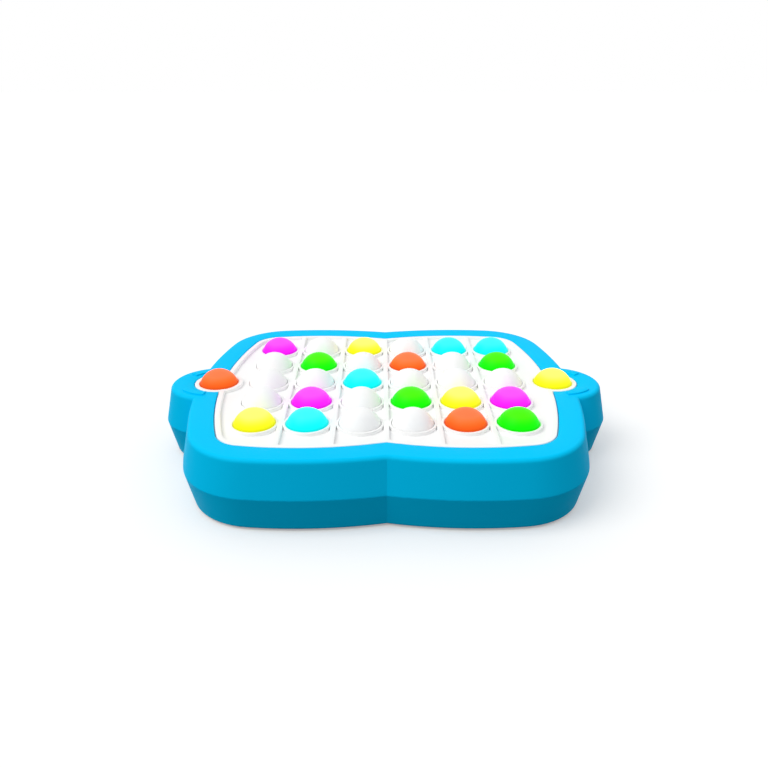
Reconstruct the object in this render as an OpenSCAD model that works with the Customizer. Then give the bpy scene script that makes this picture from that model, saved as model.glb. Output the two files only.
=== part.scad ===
// Electronic bubble pop game for two players.
// A lobed casing with an ear on each side holds a white face panel, thirty light-up bubbles in a grid
// and one bubble for each player. Every bubble is a push button over a rubber switch cone and a lamp.
// Millimetres, +Z up, +Y away from the viewer, origin on the table under the middle of the casing.

/* [Bubble grid] */
// Distance between neighbouring bubbles, both ways
pitch = 28; // [27.5:0.1:31]
// From the outer column of bubbles to the player's bubble beside it
player_step = 29.4; // [28.5:0.1:33]

/* [Bubbles] */
// Diameter of a bubble where it leaves its collar
bubble_d = 22.4; // [19:0.1:22.6]
// Height of the dome above its collar
bubble_h = 8; // [5:0.1:10]
// Thickness of the dome's skin
bubble_wall = 1.6; // [1:0.1:2.2]
// How far the retaining flange stands out from the bubble
bubble_flange_w = 1.4; // [0.9:0.1:1.5]
// Thickness of the retaining flange
bubble_flange_t = 1.2; // [0.8:0.1:1.8]
// How far a bubble goes down when it is pressed
bubble_travel = 4; // [2:0.1:4.5]
// Gap all round a bubble in its bore
bubble_fit = 0.3; // [0.3:0.05:0.5]

/* [Face panel] */
// From the outer column's centres to the panel's side edge
panel_side = 27.3; // [25:0.1:30]
// From the end row's centres to the panel's end edge
panel_end = 28.6; // [26:0.1:32]
// Distance of each end lobe's arc centre from the middle
panel_lobe_x = 44.7; // [40:0.1:48]
// Radius of the end arcs
panel_end_r = 166; // [150:1:200]
// Radius of the side arcs
panel_side_r = 261; // [220:1:320]
// Radius of the corners
panel_corner_r = 16.3; // [12:0.1:20]
// Radius of the round tab about a player's bubble
tab_r = 14.3; // [14:0.1:16]
// Width of the raised border round the channels
border = 3.4; // [2:0.1:4.5]
// Width of the ribs between the channels
rib_w = 3; // [2:0.1:3.6]
// Depth of the channels
channel_depth = 1.95; // [0.8:0.05:2]
// Width of the raised collar round each bubble
collar_w = 1.1; // [0.8:0.05:1.2]
// How far the panel reaches under the casing's top
flange_w = 2.8; // [1.5:0.1:3.2]
// Thickness of that flange
flange_t = 1.25; // [0.9:0.05:2]
// Gap between the panel and the casing's opening
panel_fit = 0.15; // [0.1:0.01:0.3]
// Diameter of the posts that hold the rubber mat down
post_d = 6; // [4:0.1:6.6]

/* [Casing] */
// From the panel's side edge to the widest line of the casing
side_rim = 17.8; // [15:0.1:20]
// From the panel's end edge to the widest line of the casing
end_rim = 16.5; // [15:0.1:20]
// Distance of each casing lobe's arc centre from the middle
case_lobe_x = 45.6; // [42:0.1:48]
// Radius of the casing's end arcs
case_end_r = 214; // [195:1:235]
// Radius of the casing's side arcs
case_side_r = 284; // [240:1:340]
// Radius of the casing's corners
case_corner_r = 42; // [36:0.1:46]
// From a player's bubble to the middle of its ear
ear_shift = 3.5; // [2:0.1:5]
// From the round tab to the widest line of the ear
ear_rim = 14; // [13:0.1:17]
// Height of the upper shell
upper_h = 20.6; // [19:0.1:26]
// Height of the lower shell
lower_h = 19.4; // [19.4:0.1:24]
// How far the upper wall leans in
upper_inset = 3.8; // [1:0.1:5]
// How far the lower wall leans in
lower_inset = 4.3; // [2:0.1:7]
// Rounding of the top edge
top_fillet = 3.7; // [2:0.1:4]
// Chamfer of the bottom edge
edge_chamfer = 1.7; // [0.5:0.1:2]
// Thickness of the walls, the top and the floor
wall = 2.4; // [2:0.1:2.8]
// Height of the lip that lines the two shells up
lip_h = 1.6; // [1:0.1:3]
// Gap beside and above the lip
lip_fit = 0.15; // [0.1:0.01:0.3]

/* [Ear marks] */
// Inner radius of the raised arcs about the middle of an ear
mark_r = 15.2; // [15:0.1:16.5]
// Width of a raised arc
mark_w = 4.6; // [2:0.1:4.8]
// Height of a raised arc
mark_h = 0.8; // [0.4:0.1:1.2]
// Angle between the ear's axis and the start of an arc
mark_start = 39; // [30:1:42]
// Angle that an arc covers
mark_sweep = 46; // [20:1:46]

/* [Switching and light] */
// Gap between stacked pieces that move against each other
run_gap = 0.3; // [0.2:0.05:0.4]
// Thickness of the rubber mat
mat_t = 1.2; // [0.8:0.1:1.6]
// Height of a rubber cone above the mat
cone_h = 6.5; // [6:0.1:7.5]
// Diameter of a rubber cone where it leaves the mat
cone_base_d = 26.4; // [25.6:0.1:27]
// Diameter of a rubber cone at its top
cone_top_d = 23.2; // [22.4:0.1:24]
// Thickness of the cone's skin and of the contact ring
cone_wall = 1; // [0.7:0.05:1.2]
// Inner diameter of the contact ring inside a cone
contact_d = 17; // [12:0.1:17.4]
// How far the mat stays inside the panel's edge
mat_margin = 0.2; // [0:0.1:1]
// Thickness of the circuit board
board_t = 1.6; // [1:0.1:2]
// How far the board reaches beyond the panel's edge
board_margin = 8; // [7:0.1:9]
// Radius of the board's tab under a player's bubble
board_tab_r = 18; // [16:0.1:18.5]
// Side of a lamp's square body
led_w = 5; // [3:0.1:6]
// Height of a lamp's body
led_h = 1.6; // [1:0.1:2]
// Side of the controller chip
chip_w = 10; // [6:0.1:14]
// Height of the controller chip
chip_h = 1.4; // [1:0.1:2]
// Diameter of a storage capacitor
capacitor_d = 5; // [4:0.1:6.3]
// Height of a storage capacitor
capacitor_h = 4.6; // [3:0.1:5]

/* [Screws] */
// Diameter of the casing and board screws
screw_d = 3; // [2.5:0.1:3.2]
// Diameter of a screw's head
head_d = 5.4; // [5:0.1:5.8]
// Height of a screw's head
head_h = 2; // [1.4:0.1:2.4]
// Gap round a screw in its hole
screw_fit = 0.1; // [0.05:0.01:0.2]
// Thickness of the wall round a screw
boss_wall = 1.7; // [1.4:0.1:1.8]
// Distance of the screw bosses outside the panel's edge
boss_out = 4; // [3.8:0.1:4.6]
// How deep a screw goes into its boss
screw_bite = 8; // [5:0.1:10]
// Distance of the corner casing screws from the middle
case_screw_x = 70; // [60:0.5:73]
// Distance of the end board screws from the middle
board_screw_x = 36; // [20:0.5:50]
// Distance of the side board screws from the middle line
board_screw_y = 46; // [40:0.5:55]
// Diameter of the small screws of the speaker and the switch
small_screw_d = 2; // [1.6:0.1:2.4]
// Diameter of a small screw's head
small_head_d = 3.8; // [3.2:0.1:4.2]
// Height of a small screw's head
small_head_h = 1.3; // [1:0.1:1.6]
// Length of a small screw's shank
small_screw_l = 4; // [3:0.1:4.4]

/* [Battery] */
// Diameter of a battery cell
cell_d = 14.5; // [10:0.1:14.6]
// Length of a battery cell with its button
cell_l = 50.5; // [44:0.1:52]
// Diameter of a cell's button
button_d = 5.5; // [3.5:0.1:5.6]
// Height of a cell's button
button_h = 1.3; // [0.8:0.1:1.6]
// Gap between cells, and round them in the box
cell_gap = 0.6; // [0.3:0.1:1.2]
// Room for a contact spring
spring_l = 5.2; // [4.6:0.1:7]
// Diameter of a contact spring's wire
spring_wire = 0.7; // [0.5:0.05:0.8]
// Turns of a contact spring
spring_turns = 3.5; // [2.5:0.5:3.5]
// Diameter of a contact spring at its plate
spring_base_d = 9; // [7:0.1:9.6]
// Diameter of a contact spring at the cell
spring_tip_d = 5.5; // [4:0.1:6.4]
// Thickness of the contact plates
plate_t = 0.5; // [0.3:0.05:0.8]
// Side of a contact plate
plate_w = 10; // [7:0.1:10.5]
// Thickness of the battery box's walls
box_wall = 1.8; // [1.2:0.1:2.4]
// Middle of the battery box behind the middle of the casing
box_y = 27; // [26:0.5:34]
// Thickness of the battery door's outer plate
door_t = 1.4; // [1:0.1:1.6]
// How far the door's outer plate reaches past the opening
door_lap = 2.5; // [1.5:0.1:3]
// Gap round the door
door_fit = 0.3; // [0.2:0.05:0.5]
// Width of the door's hook tabs
hook_w = 2.4; // [1.6:0.1:3]
// Length of the hook tabs past the opening
hook_l = 3; // [2.2:0.1:4]
// Thickness of the hook tabs
hook_t = 1.1; // [0.8:0.1:1.2]

/* [Sound] */
// Diameter of the loudspeaker
speaker_d = 40; // [32:0.5:42]
// Middle of the loudspeaker in front of the middle of the casing
speaker_y = 46; // [42:0.5:50]
// Height of the loudspeaker's basket
speaker_h = 6; // [5.4:0.1:8]
// Thickness of the loudspeaker's rim
speaker_rim_t = 2; // [1.6:0.1:2.4]
// Width of the loudspeaker's rim
speaker_rim_w = 2.8; // [2:0.1:3.4]
// Diameter of the loudspeaker's magnet
magnet_d = 18; // [12:0.1:20]
// Height of the loudspeaker's magnet
magnet_h = 5; // [3:0.1:7]
// Diameter of a hole in the sound grille
grille_d = 2.4; // [1.5:0.1:2.8]
// Distance between the rings of grille holes
grille_step = 5; // [4.4:0.1:5.6]
// Thickness of the ring that clamps the loudspeaker
clamp_t = 1.2; // [1:0.1:1.8]

/* [Power switch] */
// Place of the switch to the right of the middle
switch_x = 64; // [56:0.5:66]
// Place of the switch in front of the middle
switch_y = 34; // [28:0.5:38]
// How far the slider travels
switch_travel = 4; // [2:0.1:4.4]
// Length of the slider's knob
knob_l = 5; // [3:0.1:6]
// Width of the slider's knob
knob_w = 4; // [2.5:0.1:4.4]
// Depth of the finger dish under the switch
dish_depth = 0.9; // [0.5:0.1:1.2]
// Gap round the slider
slide_fit = 0.3; // [0.25:0.05:0.4]
// Thickness of the slider's plate
slider_t = 1.2; // [0.8:0.1:1.6]
// Height of the switch body
switch_h = 4.5; // [4:0.1:5.5]
// Width of the switch body
switch_w = 7; // [6:0.1:7.4]

/* [Feet] */
// How far the casing stands above the table
foot_h = 1.2; // [0.6:0.1:2]
// Diameter of a rubber foot
foot_d = 14; // [8:0.1:16]
// How deep a foot sits in the floor
foot_sink = 1; // [0.6:0.1:1.4]
// Gap round a foot in its seat
foot_fit = 0.2; // [0.1:0.05:0.3]
// Place of the feet from the middle, sideways
foot_x = 72; // [60:0.5:74]
// Place of the feet from the middle, front and back
foot_y = 62; // [56:0.5:66]

/* [Leads] */
// Diameter of the wires
lead_d = 1.3; // [0.8:0.1:1.6]

/* [Hidden] */
$fn = 72;
columns = 6;
rows = 5;
// Small overlap of pieces that are moulded as one, and of cuts past a face
lap = 0.5;
// Points along each kind of arc in an outline
end_points = 8;
corner_points = 6;
side_points = 5;
ear_points = 9;
dome_points = 14;
fillet_steps = 4;

// Heights, from the table up
z_floor = foot_h;
z_inside = z_floor + wall;
z_part = z_floor + lower_h;
z_top = z_part + upper_h;
z_skin = z_top - wall;
z_panel = z_skin - flange_t;
z_flange = z_panel - run_gap;
z_bubble = z_flange - bubble_flange_t;
z_cone = z_bubble - run_gap;
z_mat = z_cone - cone_h;
z_board = z_mat - mat_t;
z_under = z_board - board_t;
z_contact = z_board + bubble_travel - run_gap;

// Bubbles
bubble_r = bubble_d / 2;
bore_r = bubble_r + bubble_fit;
collar_r = bore_r + collar_w;
column_x = [for (c = [0:columns - 1]) (c - (columns - 1) / 2) * pitch];
row_y = [for (r = [0:rows - 1]) ((rows - 1) / 2 - r) * pitch];
player_x = column_x[columns - 1] + player_step;
grid_seats = [for (y = row_y, x = column_x) [x, y]];
player_seats = [[-player_x, 0], [player_x, 0]];
seats = concat(grid_seats, player_seats);
post_seats = [for (x = [-2, 0, 2], y = [-1.5, -0.5, 0.5, 1.5]) [x * pitch, y * pitch]];

// Outlines: half width, half depth, lobe centre, end, side and corner radius, ear centre and radius
panel_half_w = column_x[columns - 1] + panel_side;
panel_half_d = row_y[0] + panel_end;
panel_shape = [panel_half_w, panel_half_d, panel_lobe_x, panel_end_r, panel_side_r, panel_corner_r,
    player_x, tab_r];
board_shape = [panel_half_w, panel_half_d, panel_lobe_x, panel_end_r, panel_side_r, panel_corner_r,
    player_x, board_tab_r - board_margin];
ear_x = player_x + ear_shift;
ear_r = tab_r + ear_rim;
case_shape = [panel_half_w + side_rim, panel_half_d + end_rim, case_lobe_x, case_end_r, case_side_r,
    case_corner_r, ear_x, ear_r];

// Screws
pilot_r = screw_d / 2 + screw_fit;
boss_r = pilot_r + boss_wall;
tube_r = head_d / 2 + screw_fit + boss_wall;
head_seat = z_part - screw_bite / 2;
notch_r = boss_r + lip_fit + screw_fit;
ear_screw_x = player_x + tab_r + boss_out;

// Where a boss stands beside the panel's end or side edge
function beside_end(x) =
    sqrt(pow(panel_end_r + boss_out, 2) - pow(abs(x) - panel_lobe_x, 2)) + panel_half_d - panel_end_r;
function beside_side(y) =
    sqrt(pow(panel_side_r + boss_out, 2) - y * y) + panel_half_w - panel_side_r;

// Each boss: its place and the way that leads outwards
case_bosses = concat(
    [for (x = [-case_screw_x, case_screw_x], s = [-1, 1]) [x, s * beside_end(x), 90 * s]],
    [for (s = [-1, 1]) [s * ear_screw_x, 0, 90 - 90 * s]]);
board_bosses = concat(
    [for (x = [-board_screw_x, board_screw_x], s = [-1, 1]) [x, s * beside_end(x), 90 * s]],
    [for (s = [-1, 1], y = [-board_screw_y, board_screw_y]) [s * beside_side(y), y, 90 - 90 * s]]);

// Battery box
cell_pitch = cell_d + cell_gap;
cells = 3;
box_l = cell_l + spring_l + 2 * plate_t + cell_gap;
box_w = cells * cell_d + (cells + 1) * cell_gap;
z_cells = z_inside + cell_gap / 2;
cell_axis = z_cells + cell_d / 2;
z_box = z_cells + cell_d + cell_gap / 2;
z_box_top = z_box + box_wall;
tail_w = 3;
tail_h = 2;
z_tail = z_box_top + tail_h;
cell_y = [for (i = [0:cells - 1]) box_y + (i - (cells - 1) / 2) * cell_pitch];
cell_way = [1, -1, 1];
door_cup_r = head_d / 2 + screw_fit + boss_wall / 2;
door_cup_h = wall + head_h / 2;
door_screw_x = box_l / 2 + box_wall + door_cup_r;
door_boss_h = door_cup_h + door_fit + screw_bite + lap;

// Loudspeaker
speaker_seat_r = speaker_d / 2 + foot_fit;
clamp_lug_r = speaker_seat_r + wall + small_head_d / 2;
cone_t = 0.4;
basket_t = 0.8;
basket_back_r = magnet_d / 2 + basket_t;
clamp_angles = [90, 210, 330];

// Power switch
slot_l = knob_l + switch_travel + 2 * slide_fit;
slider_l = slot_l + switch_travel + 2 * slide_fit;
slider_w = switch_w;
switch_rest_x = switch_x - switch_travel / 2;
lever_w = 2;
lever_h = 2.4;
z_slider = z_inside + slide_fit / 2;
z_switch = z_slider + slider_t + slide_fit;
lug_l = small_head_d + 1;
lug_t = 1.2;
switch_l = slider_l + switch_travel + 2 * slide_fit;
lug_x = switch_l / 2 + lug_l / 2;

function bubble_name(r, c) = str("bubble_row", r, "_col", c);

// Outline geometry
function lobe_centre(s) = [s[2], s[1] - s[3]];
function side_centre(s) = [s[0] - s[4], 0];
function corner_centre(s) =
    let (a = lobe_centre(s), b = side_centre(s), d = norm(b - a), e = (b - a) / d,
        ra = s[3] - s[5], rb = s[4] - s[5],
        along = (ra * ra - rb * rb + d * d) / (2 * d),
        across = sqrt(ra * ra - along * along))
    a + along * e + across * [e.y, -e.x];
function heading(from, to) = atan2(to.y - from.y, to.x - from.x);
function lobe_end(s) = heading(lobe_centre(s), corner_centre(s));
function corner_end(s) = heading(side_centre(s), corner_centre(s));
function lobe_start(s, o) = 90 + asin(s[2] / (s[3] + o));
function valley(s, o) =
    let (d = s[6] - side_centre(s).x, rs = s[4] + o, re = s[7] + o,
        along = (d * d + rs * rs - re * re) / (2 * d))
    [along, sqrt(rs * rs - along * along), along - d];
function valley_on_side(s, o) = let (v = valley(s, o)) atan2(v[1], v[0]);
function valley_on_ear(s, o) = let (v = valley(s, o)) atan2(v[1], v[2]);
function arc(c, r, from, to, n) =
    [for (i = [0:n]) let (a = from + (to - from) * i / n) c + r * [cos(a), sin(a)]];
function tail(list) = [for (i = [1:len(list) - 1]) list[i]];
function quarter(s, o, ear) =
    let (side_stop = ear ? valley_on_side(s, o) : 0)
    concat(
        arc(lobe_centre(s), s[3] + o, lobe_start(s, o), lobe_end(s), end_points),
        tail(arc(corner_centre(s), s[5] + o, lobe_end(s), corner_end(s), corner_points)),
        tail(arc(side_centre(s), s[4] + o, corner_end(s), side_stop, side_points)),
        ear ? tail(arc([s[6], 0], s[7] + o, valley_on_ear(s, o), 0, ear_points)) : []);
function outline(s, o, ear = true) =
    let (q = quarter(s, o, ear), n = len(q))
    concat(
        q,
        [for (i = [n - 2:-1:0]) [q[i].x, -q[i].y]],
        [for (i = [1:n - 1]) [-q[i].x, -q[i].y]],
        [for (i = [n - 2:-1:1]) [-q[i].x, q[i].y]]);

module prism(points, from, to) {
    translate([0, 0, from]) linear_extrude(to - from) polygon(points);
}

module post(place, r, from, to) {
    translate([place.x, place.y, from]) cylinder(r = r, h = to - from);
}

module block(x, y, from, to, l, w) {
    translate([x - l / 2, y - w / 2, from]) cube([l, w, to - from]);
}

// A closed skin through rows of points, each row one outline at one height. A ring of rows closes on
// itself, and an open stack of rows is closed by a flat floor below and above.
module skin(rows, ring) {
    n = len(rows[0]);
    m = len(rows);
    bands = ring ? m : m - 1;
    sides = [for (i = [0:bands - 1], j = [0:n - 1])
        let (a = i * n, b = (i + 1) % m * n, k = (j + 1) % n)
        each [[a + j, a + k, b + j], [a + k, b + k, b + j]]];
    caps = ring ? [] : [[for (j = [n - 1:-1:0]) j], [for (j = [0:n - 1]) (m - 1) * n + j]];
    polyhedron([for (row = rows) each row], concat(sides, caps));
}

// One row: a shape's outline at an offset and a height
function row(shape, o, z) = [for (p = outline(shape, o)) [p.x, p.y, z]];

// Wall offsets at a height
function upper_offset(z) = -upper_inset * (z - z_part) / (upper_h - top_fillet);
function lower_offset(z) = -lower_inset * (z_part - z) / (lower_h - edge_chamfer);

// The upper shell's rows: up the outside, over the top edge to the opening, and down the inside
function upper_rows() =
    let (groove_top = z_part + lip_h + lip_fit, shoulder = z_top - max(top_fillet, wall))
    concat(
        [row(case_shape, 0, z_part)],
        [for (a = [0:90 / fillet_steps:90]) row(case_shape, -upper_inset - top_fillet * (1 - cos(a)),
            z_top - top_fillet * (1 - sin(a)))],
        [row(panel_shape, panel_fit, z_top),
            row(panel_shape, panel_fit, z_skin),
            row(case_shape, -upper_inset - top_fillet - wall, z_skin),
            row(case_shape, upper_offset(shoulder) - wall, shoulder),
            row(case_shape, upper_offset(groove_top) - wall, groove_top),
            row(case_shape, -wall / 2, groove_top),
            row(case_shape, -wall / 2, z_part)]);

// The lower shell's rows: from the underside up the outside, over the lip and down to the floor
function lower_rows() =
    let (lip = -wall / 2 - lip_fit)
    [row(case_shape, -lower_inset - edge_chamfer, z_floor),
        row(case_shape, -lower_inset, z_floor + edge_chamfer),
        row(case_shape, 0, z_part),
        row(case_shape, lip, z_part),
        row(case_shape, lip, z_part + lip_h),
        row(case_shape, -wall, z_part + lip_h),
        row(case_shape, -wall, z_part),
        row(case_shape, lower_offset(z_inside) - wall, z_inside)];

module top_housing() {
    color("deepskyblue") {
        difference() {
            union() {
                skin(upper_rows(), true);
                for (b = case_bosses) post(b, boss_r, z_part, z_skin + lap);
                for (b = board_bosses) post(b, boss_r, z_board, z_skin + lap);
                for (side = [0, 1], half = [0, 1]) mirror([side, 0, 0]) mirror([0, half, 0]) ear_mark();
            }
            for (b = case_bosses) post(b, pilot_r, z_part - lap, z_part + screw_bite + lap);
            for (b = board_bosses) post(b, pilot_r, z_board - lap, z_board + screw_bite + lap);
        }
    }
}

// One raised arc on the top of an ear
module ear_mark() {
    translate([ear_x, 0, z_top - lap]) rotate(mark_start) rotate_extrude(angle = mark_sweep)
        translate([mark_r, 0]) square([mark_w, mark_h + lap]);
}

module face_panel() {
    color("white") difference() {
        union() {
            prism(outline(panel_shape, flange_w), z_panel, z_skin);
            prism(outline(panel_shape, -panel_fit), z_skin - lap, z_top);
            for (p = post_seats) post(p, post_d / 2, z_mat, z_panel + lap);
        }
        difference() {
            prism(outline(panel_shape, -border, false), z_top - channel_depth, z_top + lap);
            for (i = [1:columns - 1])
                block((i - columns / 2) * pitch, 0, z_panel, z_top + 2 * lap, rib_w, 2 * panel_half_d);
            for (p = grid_seats) post(p, collar_r, z_panel, z_top + 2 * lap);
            for (p = player_seats) post(p, tab_r, z_panel, z_top + 2 * lap);
        }
        for (p = seats) post(p, bore_r, z_panel - lap, z_top + lap);
        for (b = concat(case_bosses, board_bosses)) post(b, notch_r, z_panel - lap, z_skin + lap);
    }
}

// A hollow dome with a straight skirt and a flange that holds it under the panel
module bubble(place) {
    dome_r = (bubble_r * bubble_r + bubble_h * bubble_h) / (2 * bubble_h);
    dome_z = z_top + bubble_h - dome_r;
    inner_r = bubble_r - bubble_wall;
    dome_in = dome_r - bubble_wall;
    base_angle = asin(bubble_r / dome_r);
    inner_angle = asin(min(1, inner_r / dome_in));
    flange_r = bubble_r + bubble_flange_w;
    outer = [for (i = [0:dome_points]) let (a = base_angle * (1 - i / dome_points))
        [dome_r * sin(a), dome_z + dome_r * cos(a)]];
    inner = [for (i = [0:dome_points]) let (a = inner_angle * i / dome_points)
        [dome_in * sin(a), dome_z + dome_in * cos(a)]];
    translate([place.x, place.y, 0]) rotate_extrude() polygon(concat(
        [[inner_r, z_bubble], [flange_r, z_bubble], [flange_r, z_flange], [bubble_r, z_flange]],
        outer, inner));
}

// Colour of each bubble's light, row by row from the back
row_lights = [
    ["magenta", "white", "yellow", "white", "cyan", "cyan"],
    ["white", "lime", "white", "coral", "white", "lime"],
    ["white", "white", "cyan", "white", "white", "white"],
    ["white", "magenta", "white", "lime", "yellow", "magenta"],
    ["yellow", "cyan", "white", "white", "coral", "lime"]];

module grid_bubble(r, c) {
    color(row_lights[r - 1][c - 1]) bubble([column_x[c - 1], row_y[r - 1]]);
}

module left_player_bubble() {
    color("coral") bubble(player_seats[0]);
}

module right_player_bubble() {
    color("yellow") bubble(player_seats[1]);
}

// A rubber sheet with a hollow cone and a contact ring under every bubble
module switch_mat() {
    base_r = cone_base_d / 2;
    top_r = cone_top_d / 2;
    ring_r = contact_d / 2;
    section = [[base_r, z_mat - lap], [top_r, z_cone], [ring_r, z_cone], [ring_r, z_contact],
        [ring_r + cone_wall, z_contact], [ring_r + cone_wall, z_cone - cone_wall],
        [top_r - cone_wall, z_cone - cone_wall], [base_r - cone_wall, z_mat - lap]];
    color("whitesmoke") union() {
        difference() {
            prism(outline(panel_shape, -mat_margin), z_board, z_mat);
            for (p = seats) post(p, base_r - cone_wall - lap, z_board - lap, z_mat + lap);
        }
        for (p = seats) translate([p.x, p.y, 0]) rotate_extrude() polygon(section);
    }
}

module circuit_board() {
    color("seagreen") difference() {
        prism(outline(board_shape, board_margin), z_under, z_board);
        for (b = board_bosses) post(b, pilot_r, z_under - lap, z_board + lap);
        for (b = case_bosses) translate([b.x, b.y, z_under - lap]) {
            cylinder(r = notch_r, h = board_t + 2 * lap);
            rotate(b[2]) translate([0, -notch_r, 0]) cube([2 * board_margin, 2 * notch_r, board_t + 2 * lap]);
        }
    }
}

module board_lamps() {
    color("ivory") for (p = seats) {
        block(p.x, p.y, z_board, z_board + led_h, led_w, led_w);
    }
}

module board_parts() {
    color("dimgray") {
        block(-switch_x, -switch_y, z_under - chip_h, z_under, chip_w, chip_w);
        for (i = [-1, 1])
            post([-switch_x + i * chip_w, -switch_y - chip_w], capacitor_d / 2, z_under - capacitor_h, z_under);
    }
}

// A screw that stands with its head down at a height
module screw(place, z, d, head, head_t, length) {
    post(place, head / 2, z - head_t, z);
    post(place, d / 2, z - head_t / 2, z + length);
}

module board_screws() {
    color("silver") for (b = board_bosses) {
        screw(b, z_under, screw_d, head_d, head_h, board_t + screw_bite);
    }
}

module case_screws() {
    color("silver") for (b = case_bosses) {
        screw(b, head_seat, screw_d, head_d, head_h, z_part - head_seat + screw_bite);
    }
}

module bottom_housing() {
    color("deepskyblue") difference() {
        union() {
            skin(lower_rows(), false);
            for (b = case_bosses) post(b, tube_r, z_inside - lap, z_part);
            block(0, box_y, z_inside - lap, z_box_top, box_l + 2 * box_wall, box_w + 2 * box_wall);
            post([door_screw_x, box_y], door_cup_r + door_fit + boss_wall, z_inside - lap, z_floor + door_boss_h);
            post([0, -speaker_y], speaker_seat_r + wall / 2, z_inside - lap, z_inside + speaker_rim_t);
            for (a = clamp_angles) post(clamp_place(a), small_head_d / 2 + screw_fit, z_inside - lap,
                z_inside + speaker_rim_t);
            for (s = [-1, 1]) {
                block(switch_x + s * lug_x, -switch_y, z_inside - lap, z_switch, lug_l, switch_w);
                block(switch_x, -switch_y + s * (slider_w / 2 + slide_fit + wall / 4), z_inside - lap,
                    z_inside + slider_t, slider_l, wall / 2);
            }
        }
        for (b = case_bosses) {
            post(b, head_d / 2 + screw_fit, z_floor - lap, head_seat);
            post(b, pilot_r, head_seat - lap, z_part + lap);
        }
        battery_cuts();
        post([0, -speaker_y], speaker_seat_r, z_inside, z_inside + speaker_rim_t + lap);
        for (p = grille_places) post(p, grille_d / 2, z_floor - lap, z_inside + lap);
        for (a = clamp_angles) post(clamp_place(a), small_screw_d / 2 + screw_fit,
            z_inside + speaker_rim_t - small_screw_l + clamp_t - lap / 2, z_inside + speaker_rim_t + lap);
        switch_cuts();
        for (p = foot_places) post(p, foot_d / 2 + foot_fit, z_floor - lap, z_floor + foot_sink);
    }
}

function clamp_place(a) = [clamp_lug_r * cos(a), clamp_lug_r * sin(a) - speaker_y];
grille_places = concat([[0, -speaker_y]],
    [for (ring = [1, 2], i = [0:6 * ring - 1]) let (a = 60 * i / ring)
        [ring * grille_step * cos(a), ring * grille_step * sin(a) - speaker_y]]);
foot_places = [for (x = [-foot_x, foot_x], y = [-foot_y, foot_y]) [x, y]];

// The box's inside, the door's seat, the slots for the door's hooks and the terminal tails
module battery_cuts() {
    block(0, box_y, z_floor - lap, z_box, box_l, box_w);
    block(0, box_y, z_floor - lap, z_floor + door_t, box_l + 2 * door_lap, box_w + 2 * door_lap);
    post([door_screw_x, box_y], door_cup_r + door_fit, z_floor - lap, z_floor + door_cup_h + door_fit);
    post([door_screw_x, box_y], pilot_r, z_floor - lap, z_floor + door_boss_h - lap);
    block(door_screw_x / 2, box_y, z_floor - lap, z_floor + door_t, door_screw_x, 2 * (door_cup_r + door_fit));
    for (s = [-1, 1])
        block(-box_l / 2, box_y + s * cell_pitch / 2, z_inside - lap, z_inside + hook_t + 2 * door_fit,
            2 * (hook_l + door_fit), hook_w + 2 * door_fit);
    for (t = tails)
        block(t.x, t.y, z_box - lap, z_box_top + lap, plate_t + 2 * door_fit, tail_w + 2 * door_fit);
}

// Terminal tails at the free ends of the row of cells
tails = [[box_l / 2 - plate_t / 2, cell_y[0]], [-box_l / 2 + plate_t / 2, cell_y[cells - 1]]];

module switch_cuts() {
    block(switch_x, -switch_y, z_floor - lap, z_inside + lap, slot_l, knob_w + 2 * slide_fit);
    block(switch_x, -switch_y, z_floor - lap, z_floor + dish_depth, slot_l + 2 * knob_w, 2 * knob_w);
    for (s = [-1, 1]) post([switch_x + s * lug_x, -switch_y], small_screw_d / 2 + screw_fit,
        z_switch + lug_t - small_screw_l - lap / 2, z_switch + lap);
}

module battery_door() {
    cup_place = [door_screw_x, box_y];
    color("deepskyblue") difference() {
        union() {
            block(0, box_y, z_floor, z_floor + door_t, box_l + 2 * (door_lap - door_fit),
                box_w + 2 * (door_lap - door_fit));
            block(0, box_y, z_floor + door_t - lap, z_inside, box_l - 2 * door_fit, box_w - 2 * door_fit);
            block(door_screw_x / 2, box_y, z_floor, z_floor + door_t, door_screw_x, 2 * door_cup_r);
            post(cup_place, door_cup_r, z_floor, z_floor + door_cup_h);
            for (s = [-1, 1]) {
                block(-box_l / 2 - hook_l / 2 + door_fit, box_y + s * cell_pitch / 2, z_inside + door_fit,
                    z_inside + door_fit + hook_t, hook_l + 2 * door_fit, hook_w);
                block(-box_l / 2 + 2 * door_fit, box_y + s * cell_pitch / 2, z_inside - lap,
                    z_inside + door_fit + hook_t, 2 * door_fit, hook_w);
            }
        }
        post(cup_place, head_d / 2 + screw_fit, z_floor - lap, z_floor + head_h);
        post(cup_place, pilot_r, z_floor - lap, z_floor + door_cup_h + lap);
    }
}

module battery_door_screw() {
    color("silver") screw([door_screw_x, box_y], z_floor + head_h, screw_d, head_d, head_h,
        door_cup_h - head_h + screw_bite);
}

// A cell lies along X with its button towards its plate
module battery_cell(i) {
    way = cell_way[i];
    reach = box_l / 2 - plate_t - lip_fit;
    translate([way * reach, cell_y[i], cell_axis]) rotate([0, -90 * way, 0]) {
        cylinder(d = button_d, h = button_h + lap);
        translate([0, 0, button_h]) cylinder(d = cell_d, h = cell_l - button_h);
    }
}

module battery_cell_1() {
    color("goldenrod") battery_cell(0);
}

module battery_cell_2() {
    color("goldenrod") battery_cell(1);
}

module battery_cell_3() {
    color("goldenrod") battery_cell(2);
}

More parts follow.
